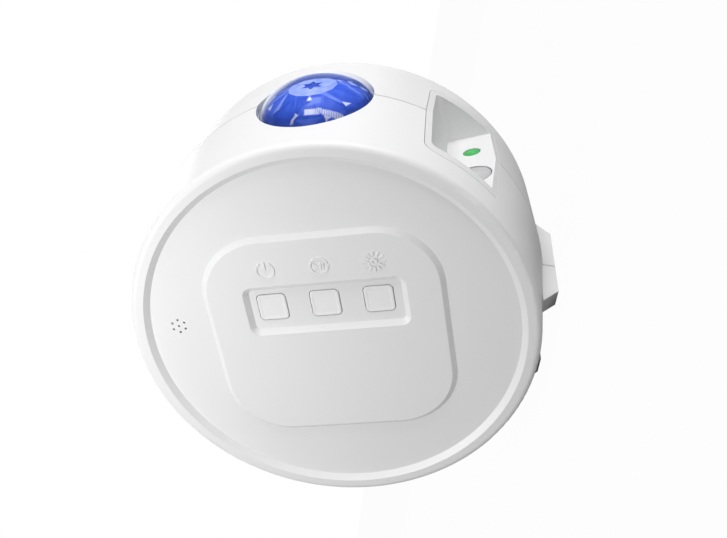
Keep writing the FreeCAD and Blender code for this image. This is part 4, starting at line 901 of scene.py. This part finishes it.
# %% [markdown]
# The finishes of the two windows: green over the laser and smoky grey over the moon lamp. One even colour
# would look like a sticker. So both are darker towards the rim, and a thin dark ring marks the gap of the
# seat that holds them.


# %% Window finishes
def window(name, spot, radius, core, edge, outline):
    made = Finish(name)
    p, _, z = made.bay()
    away = hypot(p - spot[0], z - spot[1]) / radius
    haze = made.noise(260.0)
    colour = made.blend(ramp(away, 0.3, 0.95), core, edge)
    colour = made.blend(haze * 0.2, colour, edge)
    colour = made.blend(ramp(away, 0.93, 0.97), colour, outline)
    return made.shade(Base_Color=colour, Roughness=haze * 0.1 + 0.22)


green_lens = window("green_lens", laser_spot, laser_radius,
                    (0.05, 0.50, 0.10), (0.02, 0.36, 0.07), (0.02, 0.30, 0.06))
moon_grey = window("moon_grey", moon_spot, moon_radius,
                   (0.50, 0.50, 0.51), (0.44, 0.44, 0.45), (0.10, 0.10, 0.11))
print("windows", green_lens.name, moon_grey.name)

# %% [markdown]
# Which finish goes where. The frame's parts keep their meshes and only get a material. Most are named one by
# one. Screws, boards, leads and keys are told by the end of their names. What is left is a black moulding,
# as the housings and chips inside such an object are.

# %% Finishes on the pieces
by_node = {
    "front_shell": shell_white, "rear_shell": shell_white, "laser_bay": insert_white,
    "nebula_dome": cap_finish, "laser_window": green_lens, "moon_window": moon_grey,
    "foot_pads": strip_grey, "ripple_disc": ripple_clear, "grating_wheel": grating_clear,
    "collimator_lens": lens_clear, "moon_slide": lens_clear, "motor_pinion": acetal,
    "plug_headers": acetal, "led_emitters": lamp_phosphor, "heat_sink": aluminium,
    "laser_bracket": aluminium, "microphone": aluminium, "laser_module": brass,
    "mic_boot": black_rubber, "speaker_gasket": black_rubber, "speaker_magnet": ferrite,
    "speaker_cone": cone_paper, "key_ribbon": ribbon_film, "led_board": white_board,
    "usb_socket": plated, "drive_motor": steel, "grating_motor": steel, "speaker_frame": steel,
    "disc_axle": steel, "axle_clip": steel, "motor_shaft": steel, "grating_shaft": steel}
by_ending = {"screws": plated, "board": green_board, "lead": lead_cover, "button": key_white}
dressed = {
    dome_cap: cap_finish, gem: gem_finish, laser_lens: green_lens, moon_lens: moon_grey,
    strips[0]: strip_grey, strips[1]: strip_grey}
for name in key_names:
    dressed[bpy.data.objects[name + "_cap"]] = key_white
for name, node in nodes.items():
    ending = name.split("_")[-1]
    dressed[node] = by_node.get(name, by_ending.get(ending, black_plastic))
for piece, finish in dressed.items():
    piece.data.materials.clear()
    piece.data.materials.append(finish)
print("dressed", len(dressed), "black by default",
      [name for name, node in nodes.items() if dressed[node] is black_plastic])

# %% [markdown]
# The floor. Product photographs stand on a pale sheet that burns out to white. More light would do that, but
# it would burn out the white drum too. Here the sheet shows itself mostly as plain white to the camera, and
# keeps a small share of real shading, so that the shadow stays.

# %% Floor
white_share = 0.97
sheet_tone = 0.46
bpy.ops.object.select_all(action="DESELECT")
bpy.ops.mesh.primitive_plane_add(size=12.0, location=(0, 0, 0))
floor = bpy.context.object
floor.name = "floor"
sheet = Finish("pale_floor")
to_camera = sheet.node("ShaderNodeLightPath", output="Is Camera Ray")
lit = sheet.node("ShaderNodeBsdfDiffuse", Color=(sheet_tone, sheet_tone, sheet_tone, 1))
plain = sheet.node("ShaderNodeEmission", Color=(1, 1, 1, 1), Strength=1.0)
surface = sheet.node("ShaderNodeMixShader", numbered={0: to_camera * white_share, 1: lit, 2: plain})
sheet.node("ShaderNodeOutputMaterial", Surface=surface)
floor.data.materials.append(sheet.material)
print("floor", floor.name, sheet.material.name)

# %% [markdown]
# The world. It is white wherever the camera, a reflection or a clear part looks at it, and dim for the light
# that it sheds, because a white world at full strength would wash the shading out.

# %% World
sky_level = 0.19
world = bpy.data.worlds.new("studio")
bpy.context.scene.world = world
world.use_nodes = True
sky = Nodes(world.node_tree)
seen = sky.node("ShaderNodeLightPath", output="Is Camera Ray")
for ray in ("Is Glossy Ray", "Is Transmission Ray"):
    seen = seen.math("ADD", sky.node("ShaderNodeLightPath", output=ray), clamp=True)
level_seen = seen * (1.0 - sky_level) + sky_level
sky.node("ShaderNodeOutputWorld",
         Surface=sky.node("ShaderNodeBackground", Color=(1, 1, 1, 1), Strength=level_seen))
print("world", world.name)

# %% [markdown]
# The lamps. The photograph has large soft lights: a broad one over the dome, a weak one close to the control
# face, which lets its rim and panel stand out, and one behind that lifts the edge of the drum. Three area
# lamps give that. Their level is plain, so that a colour renders about as it is written, and the Standard
# view keeps it that way.

# %% Lamps
lamp_aim = Vector((0.0, 0.0, 0.08))


def lamp(name, place, size, power):
    data = bpy.data.lights.new(name, "AREA")
    data.energy = power
    data.size = size
    made = bpy.data.objects.new(name, data)
    bpy.context.scene.collection.objects.link(made)
    away = Vector(place) - lamp_aim
    made.matrix_world = Matrix.Translation(place) @ away.to_track_quat("Z", "Y").to_matrix().to_4x4()
    print("lamp", name, "at", round(away.length, 2), "m")


lamp("key", (0.65, -0.05, 0.21), size=0.5, power=4.1)
lamp("face", (-0.04, -0.24, 0.25), size=0.15, power=0.5)
lamp("back", (-0.35, 0.60, 0.35), size=0.4, power=2.6)
bpy.context.scene.view_settings.view_transform = "Standard"
